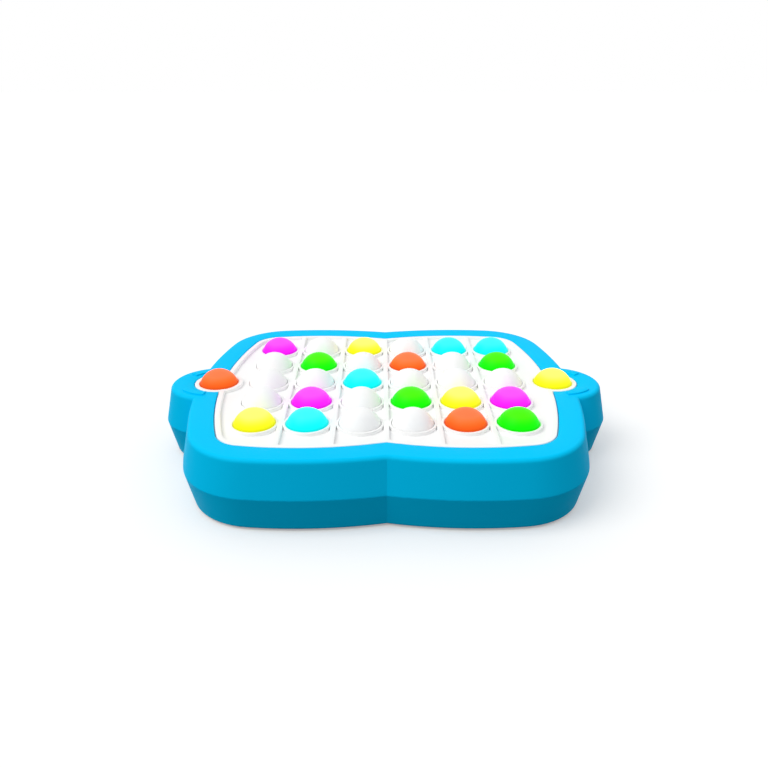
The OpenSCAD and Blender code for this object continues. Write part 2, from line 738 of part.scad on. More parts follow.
// Plates at the cells' ends: one bridges two cells, the other ends in a tail
module battery_plates() {
    color("lightgray") for (s = [-1, 1]) {
        x = s * (box_l - plate_t) / 2;
        alone = s > 0 ? cell_y[0] : cell_y[cells - 1];
        bridge = s > 0 ? cell_y[1] + cell_pitch / 2 : cell_y[0] + cell_pitch / 2;
        block(x, bridge, cell_axis - plate_w / 2, cell_axis + plate_w / 2, plate_t, cell_pitch + plate_w);
        block(x, alone, cell_axis - plate_w / 2, cell_axis + plate_w / 2, plate_t, plate_w);
        block(x, alone, cell_axis, z_tail, plate_t, tail_w);
    }
}

// A round tube along a row of points; wide of the X axis all the way
function rim(p, way, r, n) =
    let (u = cross(way, [1, 0, 0]) / norm(cross(way, [1, 0, 0])), v = cross(way, u))
    [for (j = [0:n - 1]) p + r * (cos(360 * j / n) * u + sin(360 * j / n) * v)];
function unit(v) = v / norm(v);

module tube(path, r, n) {
    last = len(path) - 1;
    ways = [for (i = [0:last]) unit(path[min(i + 1, last)] - path[max(i - 1, 0)])];
    points = [for (i = [0:last]) each rim(path[i], ways[i], r, n)];
    sides = [for (i = [0:last - 1], j = [0:n - 1]) let (k = (j + 1) % n)
        each [[i * n + j, (i + 1) * n + j, i * n + k], [i * n + k, (i + 1) * n + j, (i + 1) * n + k]]];
    near_end = [for (j = [1:n - 2]) [0, j, j + 1]];
    far_end = [for (j = [1:n - 2]) [last * n, last * n + j + 1, last * n + j]];
    polyhedron(points, concat(sides, near_end, far_end));
}

// A conical spring between a plate and the flat end of a cell
module battery_spring(i) {
    way = cell_way[i];
    free = box_l - 2 * plate_t - lip_fit - cell_l - spring_wire - 2 * lip_fit;
    start = -way * (box_l / 2 - plate_t - lip_fit - spring_wire / 2);
    steps = 12 * spring_turns;
    path = [for (k = [0:steps]) let (f = k / steps, a = 30 * k,
            r = (spring_base_d + (spring_tip_d - spring_base_d) * f) / 2)
        [start + way * free * f, cell_y[i] + r * cos(a), cell_axis + r * sin(a)]];
    tube(path, spring_wire / 2, 6);
}

module battery_springs() {
    color("silver") for (i = [0:cells - 1]) battery_spring(i);
}

module speaker_basket() {
    rim_in = speaker_d / 2 - speaker_rim_w;
    color("dimgray") translate([0, -speaker_y, z_inside]) rotate_extrude() polygon([
        [rim_in, 0], [speaker_d / 2, 0], [speaker_d / 2, speaker_rim_t], [rim_in + basket_t, speaker_rim_t],
        [basket_back_r, speaker_h], [0, speaker_h], [0, speaker_h - basket_t],
        [basket_back_r - basket_t, speaker_h - basket_t], [rim_in, speaker_rim_t - basket_t]]);
}

module speaker_cone() {
    rim_out = speaker_d / 2 - speaker_rim_w - foot_fit;
    coil_r = magnet_d / 4;
    deep = speaker_h - 2 * basket_t - lap;
    color("black") translate([0, -speaker_y, z_inside]) rotate_extrude() polygon([
        [rim_out, lip_fit], [rim_out, lip_fit + cone_t], [rim_out - cone_t, lip_fit + cone_t],
        [coil_r, deep], [0, deep], [0, deep - cone_t], [coil_r - cone_t, deep - cone_t],
        [rim_out - 2 * cone_t, lip_fit]]);
}

module speaker_magnet() {
    color("darkslategray") post([0, -speaker_y], magnet_d / 2, z_inside + speaker_h, z_inside + speaker_h + magnet_h);
}

module speaker_clamp() {
    bottom = z_inside + speaker_rim_t;
    ring_in = speaker_d / 2 - speaker_rim_w / 2 + foot_fit;
    color("gainsboro") difference() {
        union() {
            post([0, -speaker_y], speaker_seat_r + wall, bottom, bottom + clamp_t);
            for (a = clamp_angles) post(clamp_place(a), small_head_d / 2 + boss_wall, bottom, bottom + clamp_t);
        }
        post([0, -speaker_y], ring_in, bottom - lap, bottom + clamp_t + lap);
        for (a = clamp_angles) post(clamp_place(a), small_screw_d / 2 + screw_fit, bottom - lap,
            bottom + clamp_t + lap);
    }
}

// A small screw driven down from above
module small_screw(place, z) {
    post(place, small_head_d / 2, z, z + small_head_h);
    post(place, small_screw_d / 2, z - small_screw_l, z + small_head_h / 2);
}

module small_screws() {
    color("silver") {
        for (a = clamp_angles) small_screw(clamp_place(a), z_inside + speaker_rim_t + clamp_t);
        for (s = [-1, 1]) small_screw([switch_x + s * lug_x, -switch_y], z_switch + lug_t);
    }
}

module switch_body() {
    color("lightgray") difference() {
        union() {
            block(switch_x, -switch_y, z_switch, z_switch + switch_h, switch_l, switch_w);
            for (s = [-1, 1])
                block(switch_x + s * (lug_x - lap), -switch_y, z_switch, z_switch + lug_t, lug_l + lap, switch_w);
        }
        block(switch_x, -switch_y, z_switch - lap, z_switch + lever_h + slide_fit,
            lever_w + switch_travel + 2 * slide_fit, lever_w + 2 * slide_fit);
        for (s = [-1, 1]) post([switch_x + s * lug_x, -switch_y], small_screw_d / 2 + screw_fit,
            z_switch - lap, z_switch + lug_t + lap);
    }
}

module switch_slider() {
    color("black") union() {
        block(switch_rest_x, -switch_y, z_slider, z_slider + slider_t, slider_l, slider_w);
        block(switch_rest_x, -switch_y, z_floor + slide_fit, z_slider + lap, knob_l, knob_w);
        block(switch_rest_x, -switch_y, z_slider + slider_t - lap, z_switch + lever_h, lever_w, lever_w);
    }
}

module rubber_feet() {
    color("black") for (p = foot_places) {
        post(p, foot_d / 2, 0, z_floor + foot_sink);
    }
}

// A wire that leaves one place straight up and reaches the board from below
module lead(from, to) {
    rise = (to.z - from.z) / 2;
    steps = 10;
    path = [for (i = [0:steps]) let (t = i / steps, s = 1 - t)
        s * s * s * from + 3 * s * s * t * (from + [0, 0, rise])
        + 3 * s * t * t * (to - [0, 0, rise]) + t * t * t * to];
    tube(path, lead_d / 2, 8);
}

module battery_leads() {
    color("crimson") for (t = tails) {
        lead([t.x, t.y, z_tail + lip_fit], [t.x, t.y + tail_w, z_under - lip_fit]);
    }
}

module speaker_leads() {
    color("black") for (s = [-1, 1]) {
        lead([s * magnet_d / 4, -speaker_y, z_inside + speaker_h + magnet_h + lip_fit],
            [s * magnet_d / 3, -speaker_y + magnet_d / 3, z_under - lip_fit]);
    }
}

module switch_leads() {
    color("royalblue") for (s = [-1, 1]) {
        lead([switch_x + s * switch_l / 4, -switch_y, z_switch + switch_h + lip_fit],
            [switch_x + s * switch_l / 4 - switch_w, -switch_y, z_under - lip_fit]);
    }
}

top_housing();
bottom_housing();
face_panel();
switch_mat();
circuit_board();
board_lamps();
board_parts();
board_screws();
case_screws();
battery_door();
battery_door_screw();
battery_cell_1();
battery_cell_2();
battery_cell_3();
battery_springs();
battery_plates();
speaker_basket();
speaker_cone();
speaker_magnet();
speaker_clamp();
small_screws();
switch_body();
switch_slider();
rubber_feet();
battery_leads();
speaker_leads();
switch_leads();
for (r = [1:rows], c = [1:columns])
    grid_bubble(r, c);
left_player_bubble();
right_player_bubble();
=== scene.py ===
from math import atan, atan2, cos, degrees, pi, radians, sin, sqrt

import bmesh
import bpy
from mathutils import Matrix, Vector


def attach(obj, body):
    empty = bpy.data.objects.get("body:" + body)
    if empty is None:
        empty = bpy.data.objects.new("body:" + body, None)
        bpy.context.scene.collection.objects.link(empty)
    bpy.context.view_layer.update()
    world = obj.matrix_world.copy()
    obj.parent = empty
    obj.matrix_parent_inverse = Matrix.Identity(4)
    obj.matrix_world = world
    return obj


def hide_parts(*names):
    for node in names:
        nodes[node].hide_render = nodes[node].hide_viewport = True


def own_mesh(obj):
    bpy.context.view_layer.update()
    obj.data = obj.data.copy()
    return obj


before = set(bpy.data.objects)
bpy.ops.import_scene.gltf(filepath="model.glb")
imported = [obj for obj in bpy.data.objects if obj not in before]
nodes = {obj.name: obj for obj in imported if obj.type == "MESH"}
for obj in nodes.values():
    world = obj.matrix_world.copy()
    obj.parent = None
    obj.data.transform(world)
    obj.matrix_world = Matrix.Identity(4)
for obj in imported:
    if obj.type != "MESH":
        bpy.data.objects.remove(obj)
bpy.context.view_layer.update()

# An electronic bubble pop game: a lobed casing with two ears, a white face plate and thirty-two light-up
# domes. Every shape is drawn in millimetres and brought to metres when its piece is finished.
mm = 0.001
scene = bpy.context.scene
print("frame loaded with", len(nodes), "nodes")


# Materials

def linear(hexColour):
    values = [int(hexColour[i:i + 2], 16) / 255 for i in (0, 2, 4)]
    return (*[v / 12.92 if v <= 0.04045 else ((v + 0.055) / 1.055) ** 2.4 for v in values], 1)


def perMetre(size):  # scale of a pattern that repeats every so many millimetres
    return 1 / (size * mm)


def waveScale(size):  # the same for a wave texture, which turns through 20 radians in each unit
    return perMetre(size) * 2 * pi / 20


def newMaterial(name):
    material = bpy.data.materials.new(name)
    material.use_nodes = True
    material.node_tree.nodes.clear()
    return material


def addNode(material, kind, sockets=None, **settings):
    tree = material.node_tree
    node = tree.nodes.new("ShaderNode" + kind)
    for name, value in settings.items():
        setattr(node, name, value)
    for socket, value in (sockets or {}).items():
        if isinstance(value, bpy.types.NodeSocket):
            tree.links.new(value, node.inputs[socket])
        else:
            node.inputs[socket].default_value = value
    return node


# ABS, injection moulded in a lightly etched tool: an even satin colour, a little cloudy where it is handled,
# with a fine grain
def mouldedAbs(name, look):
    material = newMaterial(name)
    place = addNode(material, "TexCoord").outputs["Object"]
    cloud = addNode(material, "TexNoise", {"Vector": place, "Scale": perMetre(look["cloud"]), "Detail": 3})
    grain = addNode(material, "TexNoise", {"Vector": place, "Scale": perMetre(look["grain"]), "Detail": 2})
    colour = addNode(material, "Mix", {
        0: cloud.outputs["Fac"], 6: linear(look["colour"]), 7: linear(look["shade"])}, data_type="RGBA")
    polish = addNode(material, "MapRange", {
        "Value": cloud.outputs["Fac"], "From Min": 0.3, "From Max": 0.7,
        "To Min": look["polish"][0], "To Max": look["polish"][1]})
    bump = addNode(material, "Bump", {
        "Height": grain.outputs["Fac"], "Strength": look["bump"], "Distance": 0.05 * mm})
    shader = addNode(material, "BsdfPrincipled", {
        "Base Color": colour.outputs[2], "Roughness": polish.outputs[0], "Normal": bump.outputs[0],
        "IOR": 1.54, "Specular IOR Level": look["gloss"]})
    addNode(material, "OutputMaterial", {"Surface": shader.outputs[0]})
    return material


# Silicone rubber, compression moulded: milky and soft, light goes a little way in, with a fine matt skin, and
# a faint painted glow in its own colour that lightens its shaded side though no lamp lights it
def milkySilicone(name, look):
    material = newMaterial(name)
    place = addNode(material, "TexCoord").outputs["Object"]
    cloud = addNode(material, "TexNoise", {"Vector": place, "Scale": perMetre(look["cloud"]), "Detail": 2})
    skin = addNode(material, "TexNoise", {"Vector": place, "Scale": perMetre(look["skin"]), "Detail": 2})
    colour = addNode(material, "Mix", {
        0: cloud.outputs["Fac"], 6: linear(look["colour"]), 7: linear(look["shade"])}, data_type="RGBA")
    bump = addNode(material, "Bump", {
        "Height": skin.outputs["Fac"], "Strength": look["bump"], "Distance": 0.04 * mm})
    shader = addNode(material, "BsdfPrincipled", {
        "Base Color": colour.outputs[2], "Roughness": look["rough"], "Normal": bump.outputs[0],
        "IOR": 1.41, "Specular IOR Level": look["gloss"], "Subsurface Weight": look["depth"],
        "Subsurface Radius": (1, 1, 1), "Subsurface Scale": 2 * mm,
        # painted glow: emission in the rubber's own colour, standing in for light on an unlit part
        "Emission Color": linear(look["colour"]), "Emission Strength": look["paintedGlow"]})
    addNode(material, "OutputMaterial", {"Surface": shader.outputs[0]})
    return material


# The same silicone with its lamp on: the whole skin glows, palest over the lamp and deepest at the foot
def glowingSilicone(name, look):
    material = newMaterial(name)
    place = addNode(material, "TexCoord").outputs["Object"]
    skin = addNode(material, "TexNoise", {"Vector": place, "Scale": perMetre(look["skin"]), "Detail": 2})
    bump = addNode(material, "Bump", {
        "Height": skin.outputs["Fac"], "Strength": look["bump"], "Distance": 0.04 * mm})
    lampLight = addNode(material, "Attribute", attribute_name="lampLight").outputs["Fac"]
    spot = addNode(material, "MapRange", {
        "Value": lampLight, "From Min": look["spot"][0], "From Max": look["spot"][1]},
        interpolation_type="SMOOTHSTEP")
    glow = addNode(material, "Mix", {
        0: spot.outputs[0], 6: linear(look["glow"]), 7: linear(look["core"])}, data_type="RGBA")
    level = addNode(material, "MapRange", {
        "Value": lampLight, "From Max": look["rise"], "To Min": look["foot"], "To Max": look["top"]})
    shader = addNode(material, "BsdfPrincipled", {
        "Base Color": linear(look["dye"]), "Roughness": look["rough"], "Normal": bump.outputs[0],
        "IOR": 1.41, "Specular IOR Level": 0.1,
        "Emission Color": glow.outputs[2], "Emission Strength": level.outputs[0]})
    addNode(material, "OutputMaterial", {"Surface": shader.outputs[0]})
    return material


# Moulded rubber or soft PVC: dark or dyed, matt, with a faint bloom and pores
def softRubber(name, look):
    material = newMaterial(name)
    place = addNode(material, "TexCoord").outputs["Object"]
    bloom = addNode(material, "TexNoise", {"Vector": place, "Scale": perMetre(look["bloom"]), "Detail": 4})
    pores = addNode(material, "TexVoronoi", {"Vector": place, "Scale": perMetre(look["pores"])})
    colour = addNode(material, "Mix", {
        0: bloom.outputs["Fac"], 6: linear(look["colour"]), 7: linear(look["dust"])}, data_type="RGBA")
    bump = addNode(material, "Bump", {
        "Height": pores.outputs["Distance"], "Strength": 0.2, "Distance": 0.1 * mm})
    shader = addNode(material, "BsdfPrincipled", {
        "Base Color": colour.outputs[2], "Roughness": look["rough"], "Normal": bump.outputs[0], "IOR": 1.5})
    addNode(material, "OutputMaterial", {"Surface": shader.outputs[0]})
    return material


# Plated or bare sheet metal and wire: bright, with fine drawing lines along the work and a cloudy polish
def platedMetal(name, look):
    material = newMaterial(name)
    place = addNode(material, "TexCoord").outputs["Object"]
    stretch = addNode(material, "Mapping", {"Vector": place, "Scale": look["stretch"]})
    lines = addNode(material, "TexNoise", {
        "Vector": stretch.outputs[0], "Scale": perMetre(look["lines"]), "Detail": 3})
    cloud = addNode(material, "TexNoise", {"Vector": place, "Scale": perMetre(look["cloud"]), "Detail": 3})
    colour = addNode(material, "Mix", {
        0: cloud.outputs["Fac"], 6: linear(look["colour"]), 7: linear(look["shade"])}, data_type="RGBA")
    polish = addNode(material, "MapRange", {
        "Value": lines.outputs["Fac"], "From Min": 0.2, "From Max": 0.8,
        "To Min": look["polish"][0], "To Max": look["polish"][1]})
    bump = addNode(material, "Bump", {
        "Height": lines.outputs["Fac"], "Strength": 0.15, "Distance": 0.02 * mm})
    shader = addNode(material, "BsdfPrincipled", {
        "Base Color": colour.outputs[2], "Metallic": 1, "Roughness": polish.outputs[0],
        "Normal": bump.outputs[0]})
    addNode(material, "OutputMaterial", {"Surface": shader.outputs[0]})
    return material


# Glass-fibre laminate under solder resist: green and glossy, with the copper tracks showing as paler lines
def resistLaminate(name, look):
    material = newMaterial(name)
    place = addNode(material, "TexCoord").outputs["Object"]
    tracks = addNode(material, "TexBrick", {
        "Vector": place, "Scale": 1, "Color1": linear(look["resist"]), "Color2": linear(look["resistDark"]),
        "Mortar": linear(look["track"]), "Brick Width": look["run"] * mm, "Row Height": look["spacing"] * mm,
        "Mortar Size": look["trackWidth"] * mm, "Mortar Smooth": 0.1})
    weave = addNode(material, "TexWave", {
        "Vector": place, "Scale": waveScale(look["weave"]), "Distortion": 1})
    bump = addNode(material, "Bump", {
        "Height": weave.outputs["Fac"], "Strength": 0.1, "Distance": 0.02 * mm})
    shader = addNode(material, "BsdfPrincipled", {
        "Base Color": tracks.outputs["Color"], "Roughness": 0.3, "Normal": bump.outputs[0], "IOR": 1.52})
    addNode(material, "OutputMaterial", {"Surface": shader.outputs[0]})
    return material


# Pressed paper pulp: charcoal grey and fibrous, with the rings of its forming tool round the middle
def pulpPaper(name, look):
    material = newMaterial(name)
    place = addNode(material, "TexCoord").outputs["Object"]
    centred = addNode(material, "Mapping", {"Vector": place, "Location": [-v * mm for v in look["middle"]]})
    rings = addNode(material, "TexWave", {
        "Vector": centred.outputs[0], "Scale": waveScale(look["rings"])},
        wave_type="RINGS", rings_direction="Z")
    fibres = addNode(material, "TexNoise", {"Vector": place, "Scale": perMetre(look["fibre"]), "Detail": 5})
    colour = addNode(material, "Mix", {
        0: fibres.outputs["Fac"], 6: linear(look["colour"]), 7: linear(look["shade"])}, data_type="RGBA")
    bump = addNode(material, "Bump", {
        "Height": rings.outputs["Fac"], "Strength": 0.4, "Distance": 0.15 * mm})
    shader = addNode(material, "BsdfPrincipled", {
        "Base Color": colour.outputs[2], "Roughness": 0.9, "Normal": bump.outputs[0], "IOR": 1.5})
    addNode(material, "OutputMaterial", {"Surface": shader.outputs[0]})
    return material


# Printed shrink sleeve on a dry cell: dark body and a coppery band at the button end
def shrinkSleeve(name, look):
    material = newMaterial(name)
    place = addNode(material, "TexCoord").outputs["Object"]
    along = addNode(material, "SeparateXYZ", {0: place})
    edge = look["edge"] * mm
    blur = look["blur"] * mm
    band = addNode(material, "MapRange", {
        "Value": along.outputs[0], "From Min": edge, "From Max": edge + blur})
    haze = addNode(material, "TexNoise", {"Vector": place, "Scale": perMetre(look["haze"]), "Detail": 3})
    colour = addNode(material, "Mix", {
        0: band.outputs[0], 6: linear(look["body"]), 7: linear(look["band"])}, data_type="RGBA")
    polish = addNode(material, "MapRange", {
        "Value": haze.outputs["Fac"], "From Min": 0.3, "From Max": 0.7,
        "To Min": look["polish"][0], "To Max": look["polish"][1]})
    shader = addNode(material, "BsdfPrincipled", {
        "Base Color": colour.outputs[2], "Roughness": polish.outputs[0], "IOR": 1.53, "Coat Weight": 0.3})
    addNode(material, "OutputMaterial", {"Surface": shader.outputs[0]})
    return material


# Grain and skin are drawn coarser than the tool's own, which would not show in a picture
casingBlue = mouldedAbs("mouldedAbsBlue", {
    "colour": "00C8FD", "shade": "00CCFF", "cloud": 60, "grain": 0.7, "polish": (0.46, 0.56), "bump": 0.12,
    "gloss": 0.025})
plateWhite = mouldedAbs("mouldedAbsWhite", {
    "colour": "F9F9F9", "shade": "FCFCFC", "cloud": 45, "grain": 0.6, "polish": (0.36, 0.46), "bump": 0.06,
    "gloss": 0.2})
clampGrey = mouldedAbs("mouldedAbsGrey", {
    "colour": "D4D6D8", "shade": "C8CACC", "cloud": 20, "grain": 0.6, "polish": (0.5, 0.6), "bump": 0.15,
    "gloss": 0.4})
switchGrey = mouldedAbs("mouldedNylonGrey", {
    "colour": "BFC1C4", "shade": "B2B5B9", "cloud": 8, "grain": 0.5, "polish": (0.45, 0.55), "bump": 0.15,
    "gloss": 0.4})
knobBlack = mouldedAbs("mouldedNylonBlack", {
    "colour": "17181A", "shade": "202225", "cloud": 6, "grain": 0.4, "polish": (0.4, 0.52), "bump": 0.2,
    "gloss": 0.45})
chipBlack = mouldedAbs("mouldedEpoxyBlack", {
    "colour": "1B1C1E", "shade": "27282B", "cloud": 5, "grain": 0.3, "polish": (0.6, 0.72), "bump": 0.25,
    "gloss": 0.4})
lampEpoxy = mouldedAbs("mouldedEpoxyIvory", {
    "colour": "F3EFE0", "shade": "EAE3CC", "cloud": 3, "grain": 0.4, "polish": (0.25, 0.35), "bump": 0.05,
    "gloss": 0.5})
# the white domes' lamps are off, yet they carry a faint painted glow that lightens their shaded sides
domeWhite = milkySilicone("milkySiliconeWhite", {
    "colour": "F6F6F7", "shade": "FAFAFA", "cloud": 9, "skin": 0.5, "bump": 0.08, "rough": 0.42, "depth": 0.5,
    "gloss": 0.25, "paintedGlow": 0.08})
matSilicone = milkySilicone("milkySiliconeGrey", {
    "colour": "DADBDC", "shade": "CFD1D3", "cloud": 12, "skin": 0.5, "bump": 0.1, "rough": 0.55, "depth": 0.2,
    "gloss": 0.35, "paintedGlow": 0})
domeSkin = {
    "skin": 0.5, "bump": 0.06, "rough": 0.45, "spot": (0.05, 0.75), "rise": 0.6, "foot": 0.55, "top": 1.9}
domeColours = {
    "magenta": {"dye": "960496", "glow": "FF20FF", "core": "FF3EFF"},
    "green": {"dye": "049602", "glow": "10FF02", "core": "39FF04"},
    "yellow": {"dye": "969604", "glow": "FFFF1A", "core": "FFFF5A"},
    "cyan": {"dye": "049696", "glow": "04FFFF", "core": "2BFFFF"},
    "orange": {"dye": "963008", "glow": "FF651E", "core": "FF5B38"}}
domeFinish = {"white": domeWhite}
for colourName, colours in domeColours.items():
    domeFinish[colourName] = glowingSilicone("glowingSilicone" + colourName.title(), {**domeSkin, **colours})
footRubber = softRubber("mouldedRubberBlack", {
    "colour": "1A1B1C", "dust": "2C2D2E", "bloom": 4, "pores": 0.6, "rough": 0.8})
leadLook = {"bloom": 3, "pores": 0.5, "rough": 0.45}
leadRed = softRubber("extrudedPvcRed", {**leadLook, "colour": "B3141C", "dust": "C22A30"})
leadBlack = softRubber("extrudedPvcBlack", {**leadLook, "colour": "151617", "dust": "242526"})
leadBlue = softRubber("extrudedPvcBlue", {**leadLook, "colour": "1D4FB5", "dust": "2C5FC4"})
screwZinc = platedMetal("zincPlatedSteel", {
    "colour": "C6CACE", "shade": "AEB4BA", "stretch": (1, 1, 8), "lines": 0.4, "cloud": 2,
    "polish": (0.25, 0.4)})
contactNickel = platedMetal("nickelPlatedSpringSteel", {
    "colour": "D2D0C8", "shade": "C2BFB6", "stretch": (8, 1, 1), "lines": 0.4, "cloud": 3,
    "polish": (0.2, 0.35)})
basketSteel = platedMetal("pressedSteelPainted", {
    "colour": "53565A", "shade": "45484C", "stretch": (1, 1, 1), "lines": 0.6, "cloud": 5,
    "polish": (0.45, 0.6)})
boardGreen = resistLaminate("solderResistLaminate", {
    "resist": "0E6B3A", "resistDark": "0C6035", "track": "3C8F55", "run": 24, "spacing": 3.2,
    "trackWidth": 0.25, "weave": 0.377})
conePaper = pulpPaper("pressedPulpPaper", {
    "middle": (0, -46, 0), "rings": 12.57, "fibre": 0.8, "colour": "1F1F20", "shade": "2D2C2B"})
sleeveLook = {"body": "20242A", "band": "B5793A", "haze": 6, "polish": (0.22, 0.36)}
sleeveRight = shrinkSleeve("printedShrinkSleeveRight", {**sleeveLook, "edge": 14, "blur": 0.4})
sleeveLeft = shrinkSleeve("printedShrinkSleeveLeft", {**sleeveLook, "edge": -14, "blur": -0.4})
print("materials made:", len(bpy.data.materials))


# Drawing helpers

weldGap = 0.0005  # vertices nearer than this become one
mirrorGap = 0.001  # the same where an outline meets its mirror image
levelGap = 0.01  # vertices this near in height lie on one level
cutterClear = 1  # how far a cutter stands out of what it cuts


def crossing(a, aRadius, b, bRadius):  # where two circles meet, on the right of the way from a to b
    way = (b - a).normalized()
    apart = (b - a).length
    along = (aRadius ** 2 - bRadius ** 2 + apart ** 2) / (2 * apart)
    across = sqrt(aRadius ** 2 - along ** 2)
    return a + along * way + across * Vector((way.y, -way.x, 0))


def sweep(bm, vert, centre, target, steps):  # draws an arc from a vertex towards a target
    turn = atan2(target.y - centre.y, target.x - centre.x)
    turn -= atan2(vert.co.y - centre.y, vert.co.x - centre.x)
    arc = bmesh.ops.spin(bm, geom=[vert], cent=centre, axis=(0, 0, 1), angle=turn, steps=steps)
    return [g for g in arc["geom_last"] if isinstance(g, bmesh.types.BMVert)][0]


def drawTo(bm, vert, point):  # draws a straight line from a vertex
    line = bmesh.ops.extrude_vert_indiv(bm, verts=[vert])
    line["verts"][0].co = point
    return line["verts"][0]


def newEdges(bm, known):  # what was drawn since the known edges
    return [e for e in bm.edges if e not in known]


def vertsOf(edges):
    return list({v for e in edges for v in e.verts})


def mirrorNew(bm, known, axis):
    edges = newEdges(bm, known)
    bmesh.ops.mirror(
        bm, geom=vertsOf(edges) + edges, matrix=Matrix.Identity(4), merge_dist=mirrorGap, axis=axis)
    return newEdges(bm, known)


def addLoop(bm, shape, offset, height, ear=True):  # a shape's outline, from one quarter and its mirror images
    known = set(bm.edges)
    lobe = Vector((shape["lobeX"], shape["halfDepth"] - shape["endRadius"], height))
    side = Vector((shape["halfWidth"] - shape["sideRadius"], 0, height))
    earMiddle = Vector((shape["earX"], 0, height))
    corner = crossing(
        lobe, shape["endRadius"] - shape["cornerRadius"], side, shape["sideRadius"] - shape["cornerRadius"])
    endRadius = shape["endRadius"] + offset
    sideRadius = shape["sideRadius"] + offset
    steps = shape["steps"]
    vert = bm.verts.new((0, lobe.y + sqrt(endRadius ** 2 - lobe.x ** 2), height))
    vert = sweep(bm, vert, lobe, corner, steps["lobe"])
    vert = sweep(bm, vert, corner, 2 * corner - side, steps["corner"])
    if ear:
        valley = crossing(earMiddle, shape["earRadius"] + offset, side, sideRadius)
        vert = sweep(bm, vert, side, valley, steps["side"])
        sweep(bm, vert, earMiddle, earMiddle + Vector((1, 0, 0)), steps["ear"])
    else:
        sweep(bm, vert, side, side + Vector((1, 0, 0)), steps["side"] + steps["ear"])
    mirrorNew(bm, known, "X")
    return mirrorNew(bm, known, "Y")


def skinRows(bm, rows, ring):  # a closed skin through rows of outlines
    loops = [addLoop(bm, *row) for row in rows]
    for a, b in zip(loops, loops[1:] + loops[:1] if ring else loops[1:]):
        bmesh.ops.bridge_loops(bm, edges=a + b)
    if not ring:
        bmesh.ops.edgeloop_fill(bm, edges=loops[0])
        bmesh.ops.edgeloop_fill(bm, edges=loops[-1])


def bend(centre, radius, start, stop, steps):  # points of a rounding in a section
    angles = [radians(start + (stop - start) * i / steps) for i in range(steps + 1)]
    return [(centre[0] + radius * cos(a), centre[1] + radius * sin(a)) for a in angles]


def plug(radius, low, high):  # section of a plain round plug
    return [(0, low), (radius, low), (radius, high), (0, high)]


# Spins a section, given as radius and height, about an upright axis
def turned(bm, section, middle, steps, closed=True):
    known = set(bm.verts)
    first = bm.verts.new((section[0][0], 0, section[0][1]))
    vert = first
    for radius, height in section[1:]:
        vert = drawTo(bm, vert, (radius, 0, height))
    if closed:
        bm.edges.new((vert, first))
    edges = list({e for v in bm.verts if v not in known for e in v.link_edges})
    verts = [v for v in bm.verts if v not in known]
    bmesh.ops.spin(
        bm, geom=verts + edges, cent=(0, 0, 0), axis=(0, 0, 1), angle=2 * pi, steps=steps, use_merge=True)
    verts = [v for v in bm.verts if v not in known]
    bmesh.ops.remove_doubles(bm, verts=verts, dist=weldGap)
    verts = [v for v in bm.verts if v not in known]
    bmesh.ops.translate(bm, vec=(middle[0], middle[1], 0), verts=verts)
    return verts


def addBlock(bm, middle, size, fromZ, toZ, flare=0, flareDepth=0):  # a block, wider at its mouth by the flare
    place = Matrix.Translation((middle[0], middle[1], toZ)) @ Matrix.Diagonal((size[0], size[1], 1, 1))
    square = bmesh.ops.create_grid(bm, x_segments=1, y_segments=1, size=0.5, matrix=place)
    face = square["verts"][0].link_faces[0]
    rows = [(toZ, 0), (fromZ, 0)]
    if flare:
        rows = [(toZ, 0), (fromZ + flareDepth, 0), (fromZ, flare)]
    for (high, _), (low, wider) in zip(rows, rows[1:]):
        moved = bmesh.ops.extrude_face_region(bm, geom=[face], use_keep_orig=high == toZ)["geom"]
        face = [g for g in moved if isinstance(g, bmesh.types.BMFace)][0]
        spread = [1 + 2 * wider / side for side in size]
        bmesh.ops.translate(bm, vec=(0, 0, low - high), verts=face.verts)
        about = Matrix.Translation((-middle[0], -middle[1], 0))
        bmesh.ops.scale(bm, vec=(spread[0], spread[1], 1), verts=face.verts, space=about)


def addShapes(bm, other):  # moves another bmesh's shapes into this one
    mesh = bpy.data.meshes.new("shapes")
    other.to_mesh(mesh)
    other.free()
    bm.from_mesh(mesh)
    bpy.data.meshes.remove(mesh)


def looseObject(bm, name):
    mesh = bpy.data.meshes.new(name)
    bmesh.ops.recalc_face_normals(bm, faces=bm.faces)
    bm.to_mesh(mesh)
    bm.free()
    made = bpy.data.objects.new(name, mesh)
    scene.collection.objects.link(made)
    return made


def carve(bm, cutter):  # takes the cutter's shapes out of a solid
    blank = looseObject(bm, "blank")
    tool = looseObject(cutter, "tool")
    step = blank.modifiers.new("carve", "BOOLEAN")
    step.operation = "DIFFERENCE"
    step.solver = "EXACT"
    step.use_self = True
    step.object = tool
    bpy.context.view_layer.update()
    carved = bmesh.new()
    carved.from_mesh(blank.evaluated_get(bpy.context.evaluated_depsgraph_get()).to_mesh())
    for spent in (blank, tool):
        mesh = spent.data
        bpy.data.objects.remove(spent)
        bpy.data.meshes.remove(mesh)
    return carved


def rounded(bm, edges, width, segments=3):
    bmesh.ops.bevel(
        bm, geom=edges, offset=width, affect="EDGES", segments=segments, profile=0.5, material=-1,
        clamp_overlap=True)


def finishPiece(bm, name, material, body, slot, *replaced, crease=32):
    bmesh.ops.remove_doubles(bm, verts=bm.verts, dist=weldGap)
    bmesh.ops.recalc_face_normals(bm, faces=bm.faces)
    bmesh.ops.scale(bm, vec=(mm, mm, mm), verts=bm.verts)
    mesh = bpy.data.meshes.new(name)
    bm.to_mesh(mesh)
    bm.free()
    mesh.shade_smooth()
    mesh.set_sharp_from_angle(angle=radians(crease))
    mesh.materials.append(material)
    piece = bpy.data.objects.new(name, mesh)
    scene.collection.objects.link(piece)
    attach(piece, body)
    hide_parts(*replaced)
    return piece


